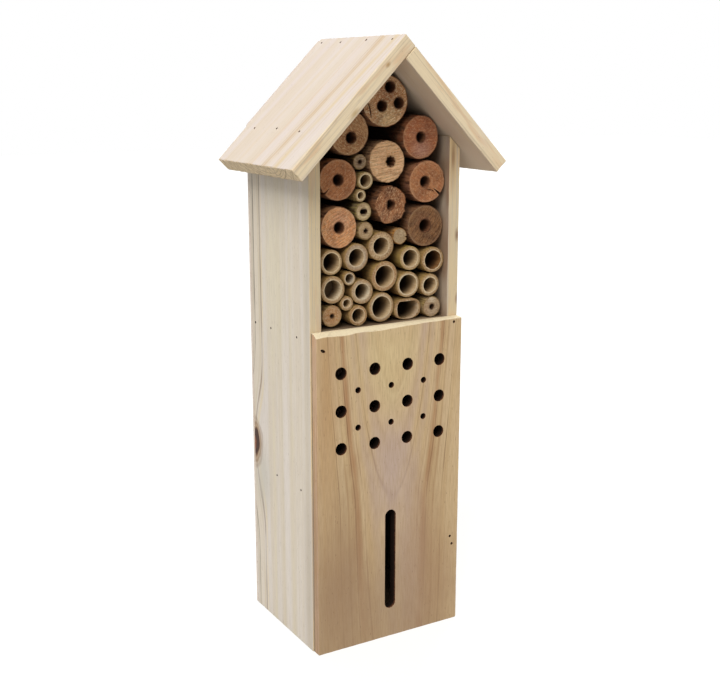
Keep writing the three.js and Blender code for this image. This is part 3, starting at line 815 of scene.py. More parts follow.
PIT_RADIUS = 0.95
PIT_DEPTH = 1.1
PIT_SIDES = 14
PIT_WOBBLE = 0.12
HEAD_SHARE = 0.9
HEAD_TOP_SHARE = 0.55
HEAD_ROOM = 0.06

# Room round the front board's brads: in the side panels, at their tips, and in the board itself
BRAD_ROOM = 0.2
BRAD_TIP_ROOM = 0.3
BRAD_PIT_ROOM = 0.15

# Places on the side panels from the front edge and up, and on the roof boards down the slope and
# from the side panels' front edge
SIDE_BRADS = ((21.5, 254.0), (66.5, 252.5), (95.0, 252.0), (17.5, 131.5), (60.0, 130.5))
ROOF_BRADS = ((5.0, -12.0), (4.5, 25.5), (5.5, 63.5), (5.0, 95.0),
              (97.0, 10.0), (96.0, 48.0), (97.5, 85.0))
FRONT_BRADS = {-1: ("brad_left_1",), 1: ("brad_right_1", "brad_right_2", "brad_right_3")}


def drilled(tips, surface, inwards):
    """Pits into a board's face, and the sunk heads that lie in them."""
    pits, heads = [], []
    bottom = surface + inwards * PIT_DEPTH
    top = surface + inwards * PIT_DEPTH * HEAD_TOP_SHARE
    for u, v in tips:
        wobble = 1 + PIT_WOBBLE * ripple((u, v, 0), 7)
        pit = circle((u, v), PIT_RADIUS * wobble, PIT_SIDES)
        pits.append(prism(pit, *sorted((surface - inwards * OVERRUN, bottom)), axis=2))
        head = circle((u, v), PIT_RADIUS * HEAD_SHARE, PIT_SIDES)
        heads.append(prism(head, *sorted((top, bottom - inwards * HEAD_ROOM)), axis=2))
    return pits, heads


def sunk_heads(name, plank, heads):
    """Brad heads that only this model has, as one piece."""
    points, faces = joined(heads)
    belongs(new_piece(name, points, faces, [BRAD_STEEL], place=plank.place()), "brads")


def brad_rooms(side, plank):
    """Middle and half size of the front board's brads on one side, in a board's coordinates."""
    for node in FRONT_BRADS[side]:
        low, high = (plank.local(corner) for corner in box_mm(node))
        yield (low + high) / 2, abs(high - low) / 2


def side_panel(side):
    """Side panel, bevelled at the top to the roof's underside, with its sunk brads."""
    word = "left" if side < 0 else "right"
    node = f"{word}_side_panel"
    low, high = box_mm(node)
    thick, depth = high[0] - low[0], high[1] - low[1]
    inner_w = thick if side > 0 else 0
    look = {**SIDE_LOOK, **SIDE_LOOKS[side], "inner_w": inner_w, "bands": SIDE_BANDS,
            "knots": (SIDE_KNOT,)}
    wood = planed_softwood(f"{word}_side_planed_fir", look)
    plank = Plank((high[0], low[1], 0), Z, Y, (high[2], depth, thick), seed=2.0 + side)
    below = abs(plank.points[:, 2] - inner_w) / high[2]
    plank.points[:, 0] *= 1 - below
    outer_w = thick - inner_w
    tips = [(z, y) for y, z in SIDE_BRADS]
    pits, heads = drilled(tips, outer_w, 1 if side > 0 else -1)
    for centre, half in brad_rooms(side, plank):
        room = circle((centre[2], centre[0]), half[2] + BRAD_ROOM)
        pits.append(prism(room, -OVERRUN, centre[1] + half[1] + BRAD_TIP_ROOM, axis=1))
    plank.made(node, "side_boards", [wood, SHADED_DRILLED], pits)
    sunk_heads(f"brads_{word}_side", plank, heads)


# How deep the saw has torn the eave, in mm, and how deep its notches may go
EAVE_ROUGH = 0.5
EAVE_NOTCH = 5.0

# A brad nearer to a board's upper edge lies in the other board, in mm
LAP_ROOM = 2


def roof_board(side):
    """Roof board with its grain down the slope and a rough sawn eave."""
    word = "left" if side < 0 else "right"
    node = f"roof_board_{word}"
    low, high = box_mm(node)
    peak = box_mm("roof_board_left")[1]
    rise = math.sin(ROOF_PITCH)
    thick = peak[0] / rise
    reach = abs(low[0] if side < 0 else high[0]) / rise
    start = (peak[2] - high[2]) / rise
    down = np.array([side * rise, 0, -rise])
    depth = high[1] - low[1]
    front_v, across = (0, Y) if side < 0 else (depth, -Y)
    origin = np.array([0, low[1] + front_v, peak[2]]) + down * start
    look = {**ROOF_LOOK, **ROOF_SIDE_LOOKS[side], "along": tuple(down)}
    wood = planed_softwood(f"{word}_roof_planed_fir", look)
    plank = Plank(origin, down, across, (reach - start, depth, thick), radius=0.8,
                  step=(9, 1.5, 1.5), chips=0.8, seed=5.0 + side)
    eave = plank.flat[:, 0] > plank.size[0] - TINY
    for i in np.nonzero(eave)[0]:
        spot = plank.points[i]
        notch = max(0.0, ripple(spot * (0, 1, 0.4), 4.5, 3) - 0.35) * max(0.0, 1 - spot[2] / 4)
        spot[0] -= EAVE_ROUGH * (0.5 + 0.5 * ripple(spot, 1.7, 6)) + EAVE_NOTCH * notch
    edge = box_mm("left_side_panel")[0][1]
    tips = [(u - start, plank.local((0, edge + y, 0))[1]) for u, y in ROOF_BRADS
            if u - start > LAP_ROOM]
    pits, heads = drilled(tips, 0, 1)
    plank.made(node, "roof_boards", [wood, SHADED_DRILLED], pits)
    sunk_heads(f"brads_roof_{word}", plank, heads)


# Front board

# How far the planed top drops at the left end and at the right, and how far back and down it goes
PLANED_DROP = 3.5
PLANED_END_DROP = 0.4
PLANED_DEPTH = 5.0
PLANED_REACH = 10.0

# Radii of the holes, their grid as heights and places from the middle, and the slot
LARGE_HOLE = 5.0
SMALL_HOLE = 2.5
HOLE_SIDES = 36
PITCH = 30
TOP_ROW = 229
LARGE_ROWS = [TOP_ROW - PITCH * i for i in range(3)]
LARGE_COLUMNS = [PITCH * (i - 1.5) for i in range(4)]
SMALL_ROWS = [TOP_ROW - PITCH * (i + 0.5) for i in range(2)]
SMALL_COLUMNS = [PITCH * (i - 1) for i in range(3)]
SLOT_HALF = 5.0
SLOT_ENDS = (25.0, 110.5)
SLOT_POINTS = 13

# How the torn pit of the left brad is stretched and turned
TORN_PIT = (1.0, 1.9)
TORN_TURN = np.array([[0.87, 0.5], [-0.5, 0.87]])


def slot_outline(middle):
    """Outline of the slot with its round ends, as up and across."""
    low, high = SLOT_ENDS[0] + SLOT_HALF, SLOT_ENDS[1] - SLOT_HALF
    turns = np.linspace(-math.pi / 2, math.pi / 2, SLOT_POINTS)
    top = np.column_stack([high + SLOT_HALF * np.cos(turns), middle + SLOT_HALF * np.sin(turns)])
    end = np.column_stack([low - SLOT_HALF * np.cos(turns), middle - SLOT_HALF * np.sin(turns)])
    return np.concatenate([top, end])


def front_board():
    """Front board with its planed top arris, round holes and slot."""
    node = "front_panel"
    low, high = box_mm(node)
    width, thick = high[0] - low[0], high[1] - low[1]
    plank = Plank((low[0], low[1], 0), Z, X, (high[2], width, thick), radius=0.5,
                  step=(7, 3, 2), seed=9.0)
    for point in plank.points:
        u, v, w = point
        share = v / width
        drop = PLANED_DROP * (1 - share) + PLANED_END_DROP * share
        drop *= 1 + 0.5 * ripple((v, 0, 0), 17, 4) + 0.12 * ripple((v, 0, 0), 6, 2)
        depth = PLANED_DEPTH * min(1.0, drop / PLANED_DROP + 0.25)
        near_top = np.clip((u - high[2] + PLANED_REACH) / PLANED_REACH, 0, 1)
        point[0] -= drop * max(0.0, 1 - w / depth) * near_top
    middle = -low[0]
    holes = [(LARGE_HOLE, z, x) for z in LARGE_ROWS for x in LARGE_COLUMNS]
    holes += [(SMALL_HOLE, z, x) for z in SMALL_ROWS for x in SMALL_COLUMNS]
    outlines = [circle((z, middle + x), radius, HOLE_SIDES) for radius, z, x in holes]
    outlines.append(slot_outline(middle))
    for side in FRONT_BRADS:
        for centre, half in brad_rooms(side, plank):
            room = circle((0, 0), half[0] + BRAD_PIT_ROOM)
            if side < 0:
                room = room * TORN_PIT @ TORN_TURN
            outlines.append(room + centre[:2])
    cuts = [prism(outline, -OVERRUN, thick + OVERRUN, axis=2) for outline in outlines]
    wood = planed_softwood("front_planed_pine", FRONT_LOOK)
    plank.made(node, "front_board", [wood, SHADED_DRILLED], cuts)


def inner_board(node):
    """Shelf or base between the side panels."""
    low, high = box_mm(node)
    plank = Plank(low, X, Y, high - low, radius=0.5, step=(12, 12, 5), seed=high[2])
    plank.made(node, "side_boards", [INNER_WOOD])


# Plywood back

STAPLES = [f"staple_{place}_{word}_{i}" for word in ("left", "right")
           for place, count in (("roof", 2), ("side", 4)) for i in range(1, count + 1)]

# The sheet's edge: the thickness that its insets are given for, each depth and how far the edge
# draws in there, how far its points lie apart and how uneven it is, in mm
SHEET = 3.0
EDGE_INSETS = ((0.0, 0.35), (0.2, 0.08), (0.5, 0.0), (2.5, 0.0), (2.8, 0.08), (3.0, 0.35))
EDGE_STEP = 3.0
EDGE_RAG = 0.06

# Pit under a staple's crown: half its length and width, its depth and its corners
PIT_HALF = (4.3, 1.3)
STAPLE_PIT_DEPTH = 0.87
PIT_CORNERS = 16
PIT_BLUNTNESS = 0.4
PIT_RAG = 0.25


def staple_pit(staple, thick):
    """Pit that a staple's crown has pressed into the sheet, in the sheet's own frame."""
    low, high = box_mm(staple)
    x, _, z = (low + high) / 2
    turn = math.pi / 2
    if "roof" in staple:
        turn = ROOF_PITCH * (1 if "left" in staple else -1)
    corners = []
    for angle in np.arange(PIT_CORNERS) * 2 * math.pi / PIT_CORNERS + 0.1:
        a, b = (half * np.sign(f(angle)) * abs(f(angle)) ** PIT_BLUNTNESS
                for half, f in zip(PIT_HALF, (math.cos, math.sin)))
        up = a * math.sin(turn) + b * math.cos(turn)
        aside = a * math.cos(turn) - b * math.sin(turn)
        corners.append((z + up, x + aside))
    return prism(ragged(corners, PIT_RAG), thick - STAPLE_PIT_DEPTH, thick + OVERRUN, axis=2)


def back_panel():
    """Plywood back with a splintered edge and a pit round each staple."""
    node = "back_panel"
    low, high = box_mm(node)
    thick = high[1] - low[1]
    outline = divided(outline_loops(node)[0][0], EDGE_STEP)
    centre = np.array([0, (low[2] + high[2]) / 2])
    points = []
    for depth, pull in EDGE_INSETS:
        for spot in outline:
            rag = EDGE_RAG * (1 + ripple((spot[0], 9 * depth, spot[1]), 2.3))
            inwards = (centre - spot) / np.linalg.norm(centre - spot)
            x, z = spot + inwards * (pull + rag)
            points.append((z, x, depth / SHEET * thick))
    faces = loft(len(EDGE_INSETS), len(outline))
    ahead = np.roll(outline, -1, axis=0)
    if (outline[:, 1] * ahead[:, 0] - outline[:, 0] * ahead[:, 1]).sum() < 0:
        faces = [face[::-1] for face in faces]
    place = Matrix(np.array([Z, X, Y]).T.tolist()).to_4x4()
    place.translation = Vector((0, low[1] * MM, 0))
    materials = [PLY, SHADED_DRILLED]
    piece = new_piece(f"{node}_dressed", points, faces, materials, place=place)
    cut_out(piece, [staple_pit(staple, thick) for staple in STAPLES], materials, 1, place)
    belongs(piece, "plywood", node)


# Sticks

END, FLANK, BORE = range(3)

# A dressed stick keeps this share of its solid's outline, and has about this many points round it
CLEARANCE_SHARE = 0.985
EVEN_ANGLES = 96

# Rings behind a stick's face, in mm: on its flank, round its rim as place and pull, across its
# face and in its bore
FLANK_STATIONS = (34, 20, 12, 7, 4, 2, 0.9)
RIM_ROUND = ((0.3, 0.18), (0.0, 0.5))
RIM_BACK = 0.15
FACE_STEP = 1.3
BORE_STATIONS = (0.35, 1.2, 3, 6, 12, 24, 45)

# How far a face without a bore closes in on its middle, and how wide a bore still is just
# inside, further in and at its bottom
CLOSED_SHARE = 0.97
BORE_SHARES = (0.995, 0.985, 0.98)

# Where chips may break out of a face's edge, and what stands for no bore near, in mm
CHIP_WIDTH = 1.6
NO_BORE = 9.0

# How ragged bores are that are cut into a stick, and how much they stop short, in mm
BORE_RAG = 0.2
BORE_RISE = 0.1

# Greatest turn between two faces that still look smooth, in degrees
SMOOTH_TURN = 38


def radii_of(loop, centre, angles):
    """Distances of an outline from a centre at these angles."""
    away = loop - centre
    turns = np.arctan2(away[:, 1], away[:, 0])
    order = np.argsort(turns)
    return np.interp(angles, turns[order], np.hypot(*away.T)[order], period=2 * math.pi)


def spokes(angles):
    """Steps of length 1 in these directions."""
    return np.column_stack([np.cos(angles), np.sin(angles)])


class Stick:
    """A log, cane or stem: its outline and bores in its own frame, which has its origin on the
    front face and y to the rear."""

    def __init__(self, node):
        (rim, *bores), depths = outline_loops(node)
        self.centre = (rim.min(axis=0) + rim.max(axis=0)) / 2
        self.front, self.rear = depths[0], depths[-1]
        self.bore_depth = depths[-2] - depths[0]
        self.rim = (rim - self.centre) * CLEARANCE_SHARE
        self.bores = [bore - self.centre for bore in bores]
        turns = np.arctan2(self.rim[:, 1], self.rim[:, 0])
        even = np.linspace(-math.pi, math.pi, EVEN_ANGLES, endpoint=False)
        gaps = abs(np.remainder(even[:, None] - turns + math.pi, 2 * math.pi) - math.pi).min(axis=1)
        free = even[gaps > math.pi / EVEN_ANGLES]
        self.angles = np.sort(np.concatenate([free, turns]))
        self.radii = radii_of(self.rim, np.zeros(2), self.angles)
        self.mean_radius = self.radii.mean()


def flank_ring(stick, shape, seed, y, pull=0.0):
    """Ring of points on a stick's flank, as rough as its bark and drawn in by a pull."""
    ring = []
    for spoke, radius in zip(spokes(stick.angles), stick.radii):
        x, z = spoke * radius
        rough = 0.5 + 0.5 * ripple((x, y * 0.25, z), shape["bark_mm"], seed)
        scale = 1 - shape["bark"] * rough - pull / radius
        ring.append((x * scale, y, z * scale))
    return ring


def mouth(stick, shape, seed):
    """Middle and outline of a stick's bore where it opens in the face."""
    bore = stick.bores[0]
    middle = bore.mean(axis=0)
    flat = spokes(stick.angles)
    radii = radii_of(bore, middle, stick.angles)
    radii = radii * (1 + shape["lobe_share"] * np.cos(shape["lobes"] * stick.angles))
    wobble = [1 + shape["bore_rag"] * ripple((*spoke, 0), 0.35, seed) for spoke in flat]
    outline = middle + flat * (radii * np.array(wobble))[:, None]
    outline[:, 1] = middle[1] + (outline[:, 1] - middle[1]) * shape["bore_tall"]
    outline[:, 1] = np.minimum(outline[:, 1], shape["flat_top"] * outline[:, 1].max())
    return middle, outline


def face_depth(stick, shape, seed, x, z):
    """How far the sawn face lies behind the stick's foremost plane."""
    coarse = ripple((x, 0, z), 5.0, seed)
    fine = ripple((x, 0, z), 1.3, seed + 5)
    depth = shape["rough"] * (0.55 + 0.4 * coarse + 0.35 * fine)
    edge = stick.mean_radius - math.hypot(x, z)
    if edge < CHIP_WIDTH:
        chip = max(0.0, ripple((x, 3, z), 3.2, seed + 9)) * (CHIP_WIDTH - edge)
        depth += shape["chips"] * chip
    return max(0.0, depth)


def stick_mesh(stick, shape, seed):
    """Points, faces and slots of a stick, ring by ring from its rear end over the flank and the
    face into the bore."""
    depth = stick.rear - stick.front
    rows = [flank_ring(stick, shape, seed, y) for y in (depth, 0.6 * depth, *FLANK_STATIONS)]
    rows += [flank_ring(stick, shape, seed, y, pull) for y, pull in RIM_ROUND]
    slots = [FLANK] * (len(rows) - 1) + [END]
    rim = np.array(rows[-1])[:, [0, 2]]
    rows[-1] = [(x, face_depth(stick, shape, seed, x, z) + RIM_BACK, z) for x, z in rim]

    open_bore = bool(stick.bores) and not shape["cut_bores"]
    middle, inner = mouth(stick, shape, seed) if open_bore else (np.zeros(2), 0 * rim)
    steps = max(2, round(np.linalg.norm(rim - inner, axis=1).mean() / FACE_STEP))
    for step in range(1, steps + 1):
        share = step / steps
        if step == steps and not open_bore:
            share = CLOSED_SHARE
        spots = rim * (1 - share) + inner * share
        rows.append([(x, face_depth(stick, shape, seed, x, z), z) for x, z in spots])
        slots.append(END)
    if open_bore:
        bottom = shape.get("bottom", stick.bore_depth)
        edge, walls, end = (middle + (inner - middle) * share for share in BORE_SHARES)
        mouth_depths = np.array(rows[-1])[:, 1]
        for y in BORE_STATIONS:
            if y < bottom:
                ring = walls if y > 1 else edge
                rows.append([(x, y + behind, z) for (x, z), behind in zip(ring, mouth_depths)])
                slots.append(BORE)
        rows.append([(x, bottom, z) for x, z in end])
        slots.append(BORE)

    count = len(stick.angles)
    points = [point for row in rows for point in row]
    face_slots = [slot for slot in slots[:-1] for _ in range(count)] + [FLANK, slots[-1]]
    return points, loft(len(rows), count), face_slots


def crack(path, widths, depth):
    """Cut that runs along a path in the face, as wide as the split is there, to one depth."""
    path = np.asarray(path, float)
    ahead = np.gradient(path, axis=0)
    ahead /= np.linalg.norm(ahead, axis=1, keepdims=True)
    side = np.column_stack([-ahead[:, 1], ahead[:, 0]]) * np.asarray(widths)[:, None] / 2
    outline = np.concatenate([path + side, (path - side)[::-1]])
    return prism(outline[:, ::-1], -OVERRUN, depth, axis=1)


def lay_distances(piece, stick):
    """Stores each point's distance from the rim and from the nearest bore, in millimetres."""
    mesh = piece.data
    places = np.zeros(len(mesh.vertices) * 3)
    mesh.vertices.foreach_get("co", places)
    flat = places.reshape(-1, 3)[:, [0, 2]] / MM

    def gap(loop, centre):
        """How far inside a loop each point lies."""
        away = flat - centre
        turns = np.arctan2(away[:, 1], away[:, 0])
        return radii_of(loop, centre, turns) - np.hypot(*away.T)

    to_rim = gap(stick.rim, np.zeros(2))
    to_bore = np.full(len(flat), NO_BORE)
    for bore in stick.bores:
        to_bore = np.minimum(to_bore, -gap(bore, bore.mean(axis=0)))
    for name, values in ((FROM_RIM, to_rim), (FROM_BORE, to_bore)):
        stored = mesh.attributes.new(name, "FLOAT", "POINT")
        stored.data.foreach_set("value", values.astype(np.float32))


# Looks and shapes of the single sticks

LOG_LOOK = {
    "face": "#A5714C", "warm": "#B07A50", "dark": "#7A4A2F", "pale": "#DDB68C",
    "bark": "#3E2417", "sap": "#C2946A", "edge": "#8E6645", "flank": "#7C5A43",
    "hollow": "#7A4F33", "deep": "#3E2417", "pith": (0, 0), "saw_angle": 0,
    "rings": 0.3, "saw": 0.45, "speckle": 0.6, "pits": 0.6,
}
CANE_LOOK = {
    "face": "#BC9F78", "warm": "#B08E64", "dark": "#97744E", "pale": "#DAC6A2",
    "rind": "#6B4B2E", "flank": "#A98A52", "hollow": "#C9AE86", "deep": "#A2835C", "dots": 0.45,
}
STEM_LOOK = {
    **LOG_LOOK, "face": "#BA9C76", "warm": "#AE8E66", "dark": "#8E6C4E", "pale": "#DCC8A6",
    "bark": "#4A3222", "sap": "#B4966E", "edge": "#8A6E50", "flank": "#9A8250",
    "hollow": "#5E432E", "deep": "#2E1E14",
}

PALE_REED = {"face": "#D2BC8E", "pale": "#E6D5AC", "flank": "#B79F66"}

# What sets single sticks apart: colours, strengths, saw angles in degrees, and areas as x and z
# from the centre and size in mm, colour and strength
STICK_LOOKS = {
    "log_1": {"face": "#CE9C6E", "warm": "#C98858", "pale": "#F6E2B8", "dark": "#86583A",
              "sap": "#CBA983", "speckle": 0.9, "saw_angle": 25, "saw": 0.5,
              "areas": ((2, 6, 8, "#9A6546", 0.7), (2, -12, 8, "#E8C38E", 0.7),
                        (-14, -4, 3, "#8A5227", 0.8))},
    "log_2": {"face": "#B6865C", "sap": "#C9B08A", "saw_angle": -30, "speckle": 0.75,
              "pale": "#E6C796"},
    "log_3": {"face": "#AB6E4C", "warm": "#AE663E", "dark": "#774331", "edge": "#B88A66",
              "speckle": 0.45, "areas": ((1, -9, 7, "#B58A78", 0.7),)},
    "log_4": {"face": "#E9B688", "warm": "#ECBF8E", "dark": "#9E7148", "pale": "#F3DCB6",
              "rings": 0.12, "saw": 0.75, "saw_angle": 8, "flank": "#B08A69",
              "pits": 0.3, "areas": ((5, 5, 7, "#C48F61", 0.7),), "edge": "#8A674A"},
    "log_5": {"face": "#B07148", "warm": "#BC7D50", "sap": "#C79A74", "edge": "#C4926A",
              "speckle": 0.5, "saw_angle": 40},
    "log_6": {"face": "#B07048", "warm": "#BA7F53", "sap": "#CBA27C", "edge": "#CB9A70",
              "flank": "#8A5D45", "speckle": 0.5, "saw_angle": -35},
    "log_7": {"face": "#A66C45", "warm": "#B6784C", "pale": "#DDB286", "speckle": 0.75,
              "dark": "#5C3726", "saw_angle": 60, "pits": 0.85, "saw": 0.7,
              "areas": ((0, 12, 6, "#4E2E20", 0.8), (-8, -8, 7, "#A8795A", 0.6))},
    "log_8": {"face": "#E19A62", "warm": "#E3A671", "pale": "#F6D8AE", "edge": "#DDB088",
              "speckle": 0.5, "areas": ((2, 5, 8, "#C99477", 0.6),), "saw_angle": 30, "pits": 0.5},
    "log_9": {"face": "#855E40", "warm": "#946740", "dark": "#4A3020", "pale": "#B08A62",
              "sap": "#A58A6A", "speckle": 0.5, "saw": 0.75, "saw_angle": 50,
              "areas": ((-2, 3, 6, "#8E5C40", 0.6),)},
    "cane_1": {"areas": ((7, -7, 6, "#8A6640", 0.7),), "dots": 0.8},
    "cane_2": {"face": "#AB947A", "warm": "#9F8468"},
    "cane_3": {"face": "#C6AB80", "pale": "#E0CBA2"},
    "cane_4": {"flank": "#A8904A", "face": "#C2A87C"},
    "cane_5": {"hollow": "#8C643A", "deep": "#5E3D20", "dots": 1.0, "face": "#AF9068"},
    "cane_6": {"face": "#AA8459", "warm": "#9F7349"},
    "cane_7": {"face": "#AE9571", "hollow": "#D9C8A8"},
    "cane_8": {"face": "#AC977B", "hollow": "#D6C7AA"},
    "cane_9": {"face": "#C7B28C", "pale": "#E2D0AE"},
    "cane_10": {"face": "#C9B58E", "pale": "#E2D0AE"},
    "cane_11": {"face": "#B7A385", "hollow": "#C6AE88"},
    "cane_12": {"face": "#AE8253", "warm": "#A27445"},
    "cane_13": {"face": "#A68663", "hollow": "#BFA789", "dots": 1.0},
    "reed_1": PALE_REED,
    "reed_2": PALE_REED,
    "reed_3": {"face": "#9D8B74", "warm": "#907A5E", "hollow": "#B5A996"},
    "reed_4": {"face": "#AF9174", "warm": "#A37F58"},
    "stem_1": {"face": "#8E7A62", "warm": "#846F57", "areas": ((0, 0, 2.4, "#6E5038", 0.8),),
               "rings": 0.7},
    "stem_2": {"face": "#DCC699", "warm": "#D2B888", "flank": "#9A8A4E", "rings": 0.6},
    "stem_3": {"face": "#BC9F75"},
    "stem_4": {"face": "#B39A78", "flank": "#B27B3C", "warm": "#A98E68", "pale": "#D8C4A0"},
    "stem_5": {"face": "#BE966A", "warm": "#B58959", "dark": "#96653B",
               "areas": ((0, 0, 4.5, "#AE7444", 0.45),)},
    "stem_6": {"face": "#BCA588", "warm": "#AE9474", "areas": ((0, 7, 3, "#EADBC0", 0.8),)},
}

# A stick's shape, unless it or its kind says otherwise: the grain of its bark in mm, how rough its
# face is, and the lobes, wobble, height and flat top of its bore
STICK_SHAPE = {
    "bark_mm": 3.0, "rough": 0.35, "lobes": 0, "lobe_share": 0.0, "bore_rag": 0.02,
    "bore_tall": 1.0, "flat_top": 1.0, "cut_bores": False,
}
STICK_SHAPES = {
    "log_1": {"cut_bores": True, "rough": 0.5, "chips": 0.9, "bark": 0.03},
    "log_3": {"chips": 0.9, "bark": 0.035},
    "log_4": {"lobes": 8, "lobe_share": 0.12, "bark": 0.045, "bark_mm": 1.7, "rough": 0.3,
              "chips": 1.2},
    "log_7": {"lobes": 3, "lobe_share": 0.16, "bark": 0.15, "bark_mm": 2.3, "chips": 1.6,
              "rough": 0.9},
    "log_9": {"rough": 0.5},
    "cane_5": {"bore_rag": 0.06, "chips": 1.1, "bark": 0.04, "bark_mm": 1.6},
    "cane_7": {"bottom": 14.0},
    "cane_13": {"bore_tall": 1.45, "flat_top": 0.72},
    "stem_2": {"lobes": 2, "lobe_share": 0.3},
    "stem_3": {"lobes": 4, "lobe_share": 0.15, "chips": 1.6},
    "stem_6": {"chips": 0.9},
}

# Splits in the face as the points of a path, its widths there and its depth
CRACKS = {
    "log_1": [(((-17.5, 3), (-15.2, -1), (-13.6, -5), (-12.6, -9), (-12.3, -12.5)),
               (0.3, 0.7, 0.9, 1.1, 0.5), 5.0)],
    "log_5": [(((-12.6, -11.2), (-10.4, -8.8), (-8.9, -7.2), (-7.5, -5.6)),
               (1.3, 0.8, 0.7, 0.1), 5.0)],
    "log_6": [(((-3.5, -6.5), (-1.5, -5.5), (1.5, -6.2), (4.5, -6.8), (6.4, -8.0)),
               (0.15, 0.5, 0.4, 0.6, 0.8), 4.0)],
}


# Each kind of stick: its look, record slot and shape, and the finishes of face, flank and bore
KINDS = {
    "log": {"look": LOG_LOOK, "slot": "logs", "shape": {"bark": 0.025, "chips": 0.6},
            "finishes": ((sawn_hardwood, "sawn_hardwood"), (rough_bark, "rough_bark"),
                         (hollow_inside, "bored_hardwood"))},
    "cane": {"look": CANE_LOOK, "slot": "bamboo",
             "shape": {"bark": 0.008, "chips": 0.3, "rough": 0.2},
             "finishes": ((cut_bamboo, "cut_bamboo"), (bamboo_rind, "bamboo_rind"),
                          (hollow_inside, "hollow_bamboo"))},
    "stem": {"look": STEM_LOOK, "slot": "stems", "shape": {"bark": 0.02, "chips": 0.5},
             "finishes": ((sawn_hardwood, "sawn_stem"), (rough_bark, "stem_bark"),
                          (hollow_inside, "stem_pith"))},
}

# Sticks as the name of their nodes, their kind and their number
COUNTS = (("log", "log", 9), ("cane", "cane", 13), ("reed", "cane", 4), ("stem", "stem", 6))


def dressed_stick(node, kind):
    """One stick, dressed over its CAD solid."""
    stick = Stick(node)
    seed = float(sum(map(ord, node)) % 97)
    look = {**kind["look"], **STICK_LOOKS.get(node, {}), "seed": seed}
    shape = {**STICK_SHAPE, **kind["shape"], **STICK_SHAPES.get(node, {})}
    materials = [make(f"{node}_{word}", look) for make, word in kind["finishes"]]
    points, faces, slots = stick_mesh(stick, shape, seed)
    place = Matrix.Translation(Vector((stick.centre[0], stick.front, stick.centre[1])) * MM)
    piece = new_piece(f"{node}_dressed", points, faces, materials, slots, place, smooth=True)
    cuts = [crack(*split) for split in CRACKS.get(node, ())]
    if shape["cut_bores"]:
        cuts += [prism(ragged(bore[:, ::-1], BORE_RAG), -OVERRUN, stick.bore_depth - BORE_RISE,
                       axis=1) for bore in stick.bores]
    if cuts:
        flatten(piece)
        cut_out(piece, cuts, materials, BORE, place)
    sharpen(piece, SMOOTH_TURN)
    lay_distances(piece, stick)
    belongs(piece, kind["slot"], node)


# Stage, light and camera

# The camera's place, its aim and its lens, in mm
STATION = (-447.1, -762.8, 446.9)
AIM = (0, 0, 239)
LENS_MM = 56.0

SKY_STRENGTH = 0.43
FLOOR_GLOW = 0.6
FLOOR_HALF = 6000

# Lamps as name, direction that they stand in, strength and spread in degrees
SUNS = (("key", (-0.75, -0.62, 0.95), 2.3, 38), ("fill", (0.9, -0.5, 0.35), 0.2, 40),
        ("rear", (0.6, 0.85, 0.7), 1.75, 30))


def seen_rays(tree):
    """1 for rays that come from the camera, from a shine or through glass, 0 for the others."""
    rays = add(tree, "LightPath").node.outputs
    seen = rays["Is Camera Ray"]
    for other in ("Is Glossy Ray", "Is Transmission Ray"):
        seen = add(tree, "Math", {0: seen, 1: rays[other]}, operation="MAXIMUM")
    return seen


def stage():
    """Pale floor that keeps the object's shadow, and a white background."""
    corners = [(x * FLOOR_HALF, y * FLOOR_HALF, 0) for x, y in ((-1, -1), (1, -1), (1, 1), (-1, 1))]
    floor = Finish("matt_white_floor", 0.95, "#B4B4B2", Specular_IOR_Level=0.0)
    glow = add(floor.tree, "MapRange", {0: seen_rays(floor.tree), 4: FLOOR_GLOW})
    light = add(floor.tree, "Emission", {"Color": (1, 1, 1, 1), "Strength": glow})
    both = add(floor.tree, "AddShader", {0: floor.shader.outputs[0], 1: light})
    floor.tree.links.new(both, floor.tree.nodes["Material Output"].inputs["Surface"])
    piece = new_piece("floor", corners, [[0, 1, 2, 3]], [floor.finished()])


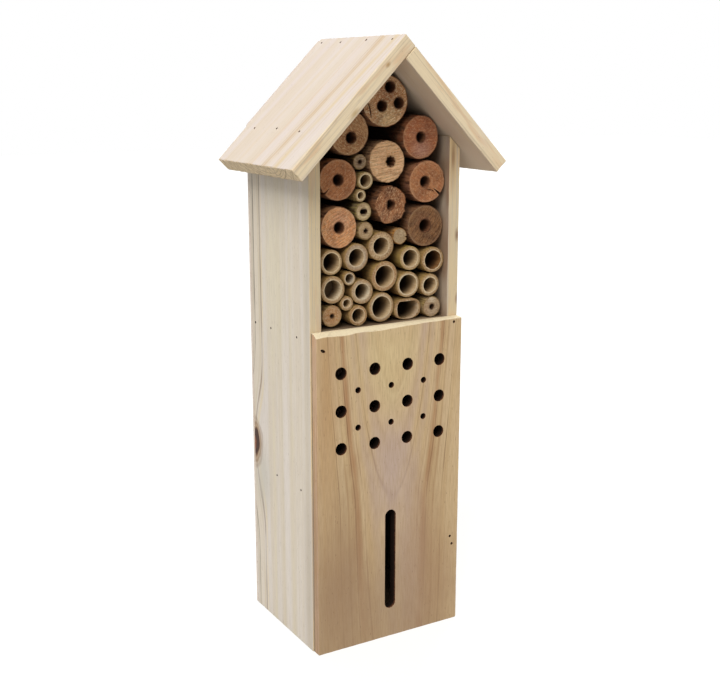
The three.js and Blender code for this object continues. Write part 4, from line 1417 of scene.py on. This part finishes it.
def world():
    """Even light from all round, and white where the camera sees past the floor."""
    made = bpy.data.worlds.new("studio")
    bpy.context.scene.world = made
    made.use_nodes = True
    tree = made.node_tree
    strength = add(tree, "MapRange", {0: seen_rays(tree), 3: SKY_STRENGTH, 4: 1.0})
    background = tree.nodes["Background"]
    background.inputs["Color"].default_value = (1, 1, 1, 1)
    tree.links.new(strength, background.inputs["Strength"])


def lamps():
    """Soft key from the upper left of the front, a weak fill from the right, and a lamp for the
    back."""
    for name, from_where, strength, spread in SUNS:
        lamp = bpy.data.lights.new(name, "SUN")
        lamp.energy = strength
        lamp.angle = math.radians(spread)
        made = bpy.data.objects.new(name, lamp)
        made.rotation_euler = Vector(from_where).to_track_quat("Z", "Y").to_euler()
        bpy.context.scene.collection.objects.link(made)


def camera():
    """Camera at the photograph's station point, turned to the middle of the object."""
    lens = bpy.data.cameras.new("camera")
    lens.lens = LENS_MM
    made = bpy.data.objects.new("camera", lens)
    made.location = Vector(STATION) * MM
    towards = Vector(AIM) * MM - made.location
    made.rotation_euler = towards.to_track_quat("-Z", "Y").to_euler()
    bpy.context.scene.collection.objects.link(made)
    bpy.context.scene.camera = made


stage()
world()
lamps()
camera()
bpy.context.scene.view_settings.view_transform = "Standard"

BRAD_STEEL = dulled_steel("dulled_brad_steel", "#2C2621", "#46301F", 0.6)
STAPLE_STEEL = dulled_steel("galvanised_staple_wire", "#D2D0CA", "#8E8B86", 0.3)
SHADED_DRILLED = shaded_drilled_wood()
INNER_WOOD = planed_softwood("inner_planed_fir", INNER_LOOK)
PLY = rotary_cut_plywood()

for side in (-1, 1):
    side_panel(side)
    roof_board(side)
front_board()
back_panel()
for shelf in ("tube_shelf", "divider_shelf", "base_board"):
    inner_board(shelf)
for prefix, kind, count in COUNTS:
    for number in range(1, count + 1):
        dressed_stick(f"{prefix}_{number}", KINDS[kind])
for word, material in (("staple", STAPLE_STEEL), ("brad", BRAD_STEEL)):
    for name, node in frame["nodes"].items():
        if name.startswith(word + "_"):
            node.data.materials.clear()
            node.data.materials.append(material)

bpy.context.view_layer.update()
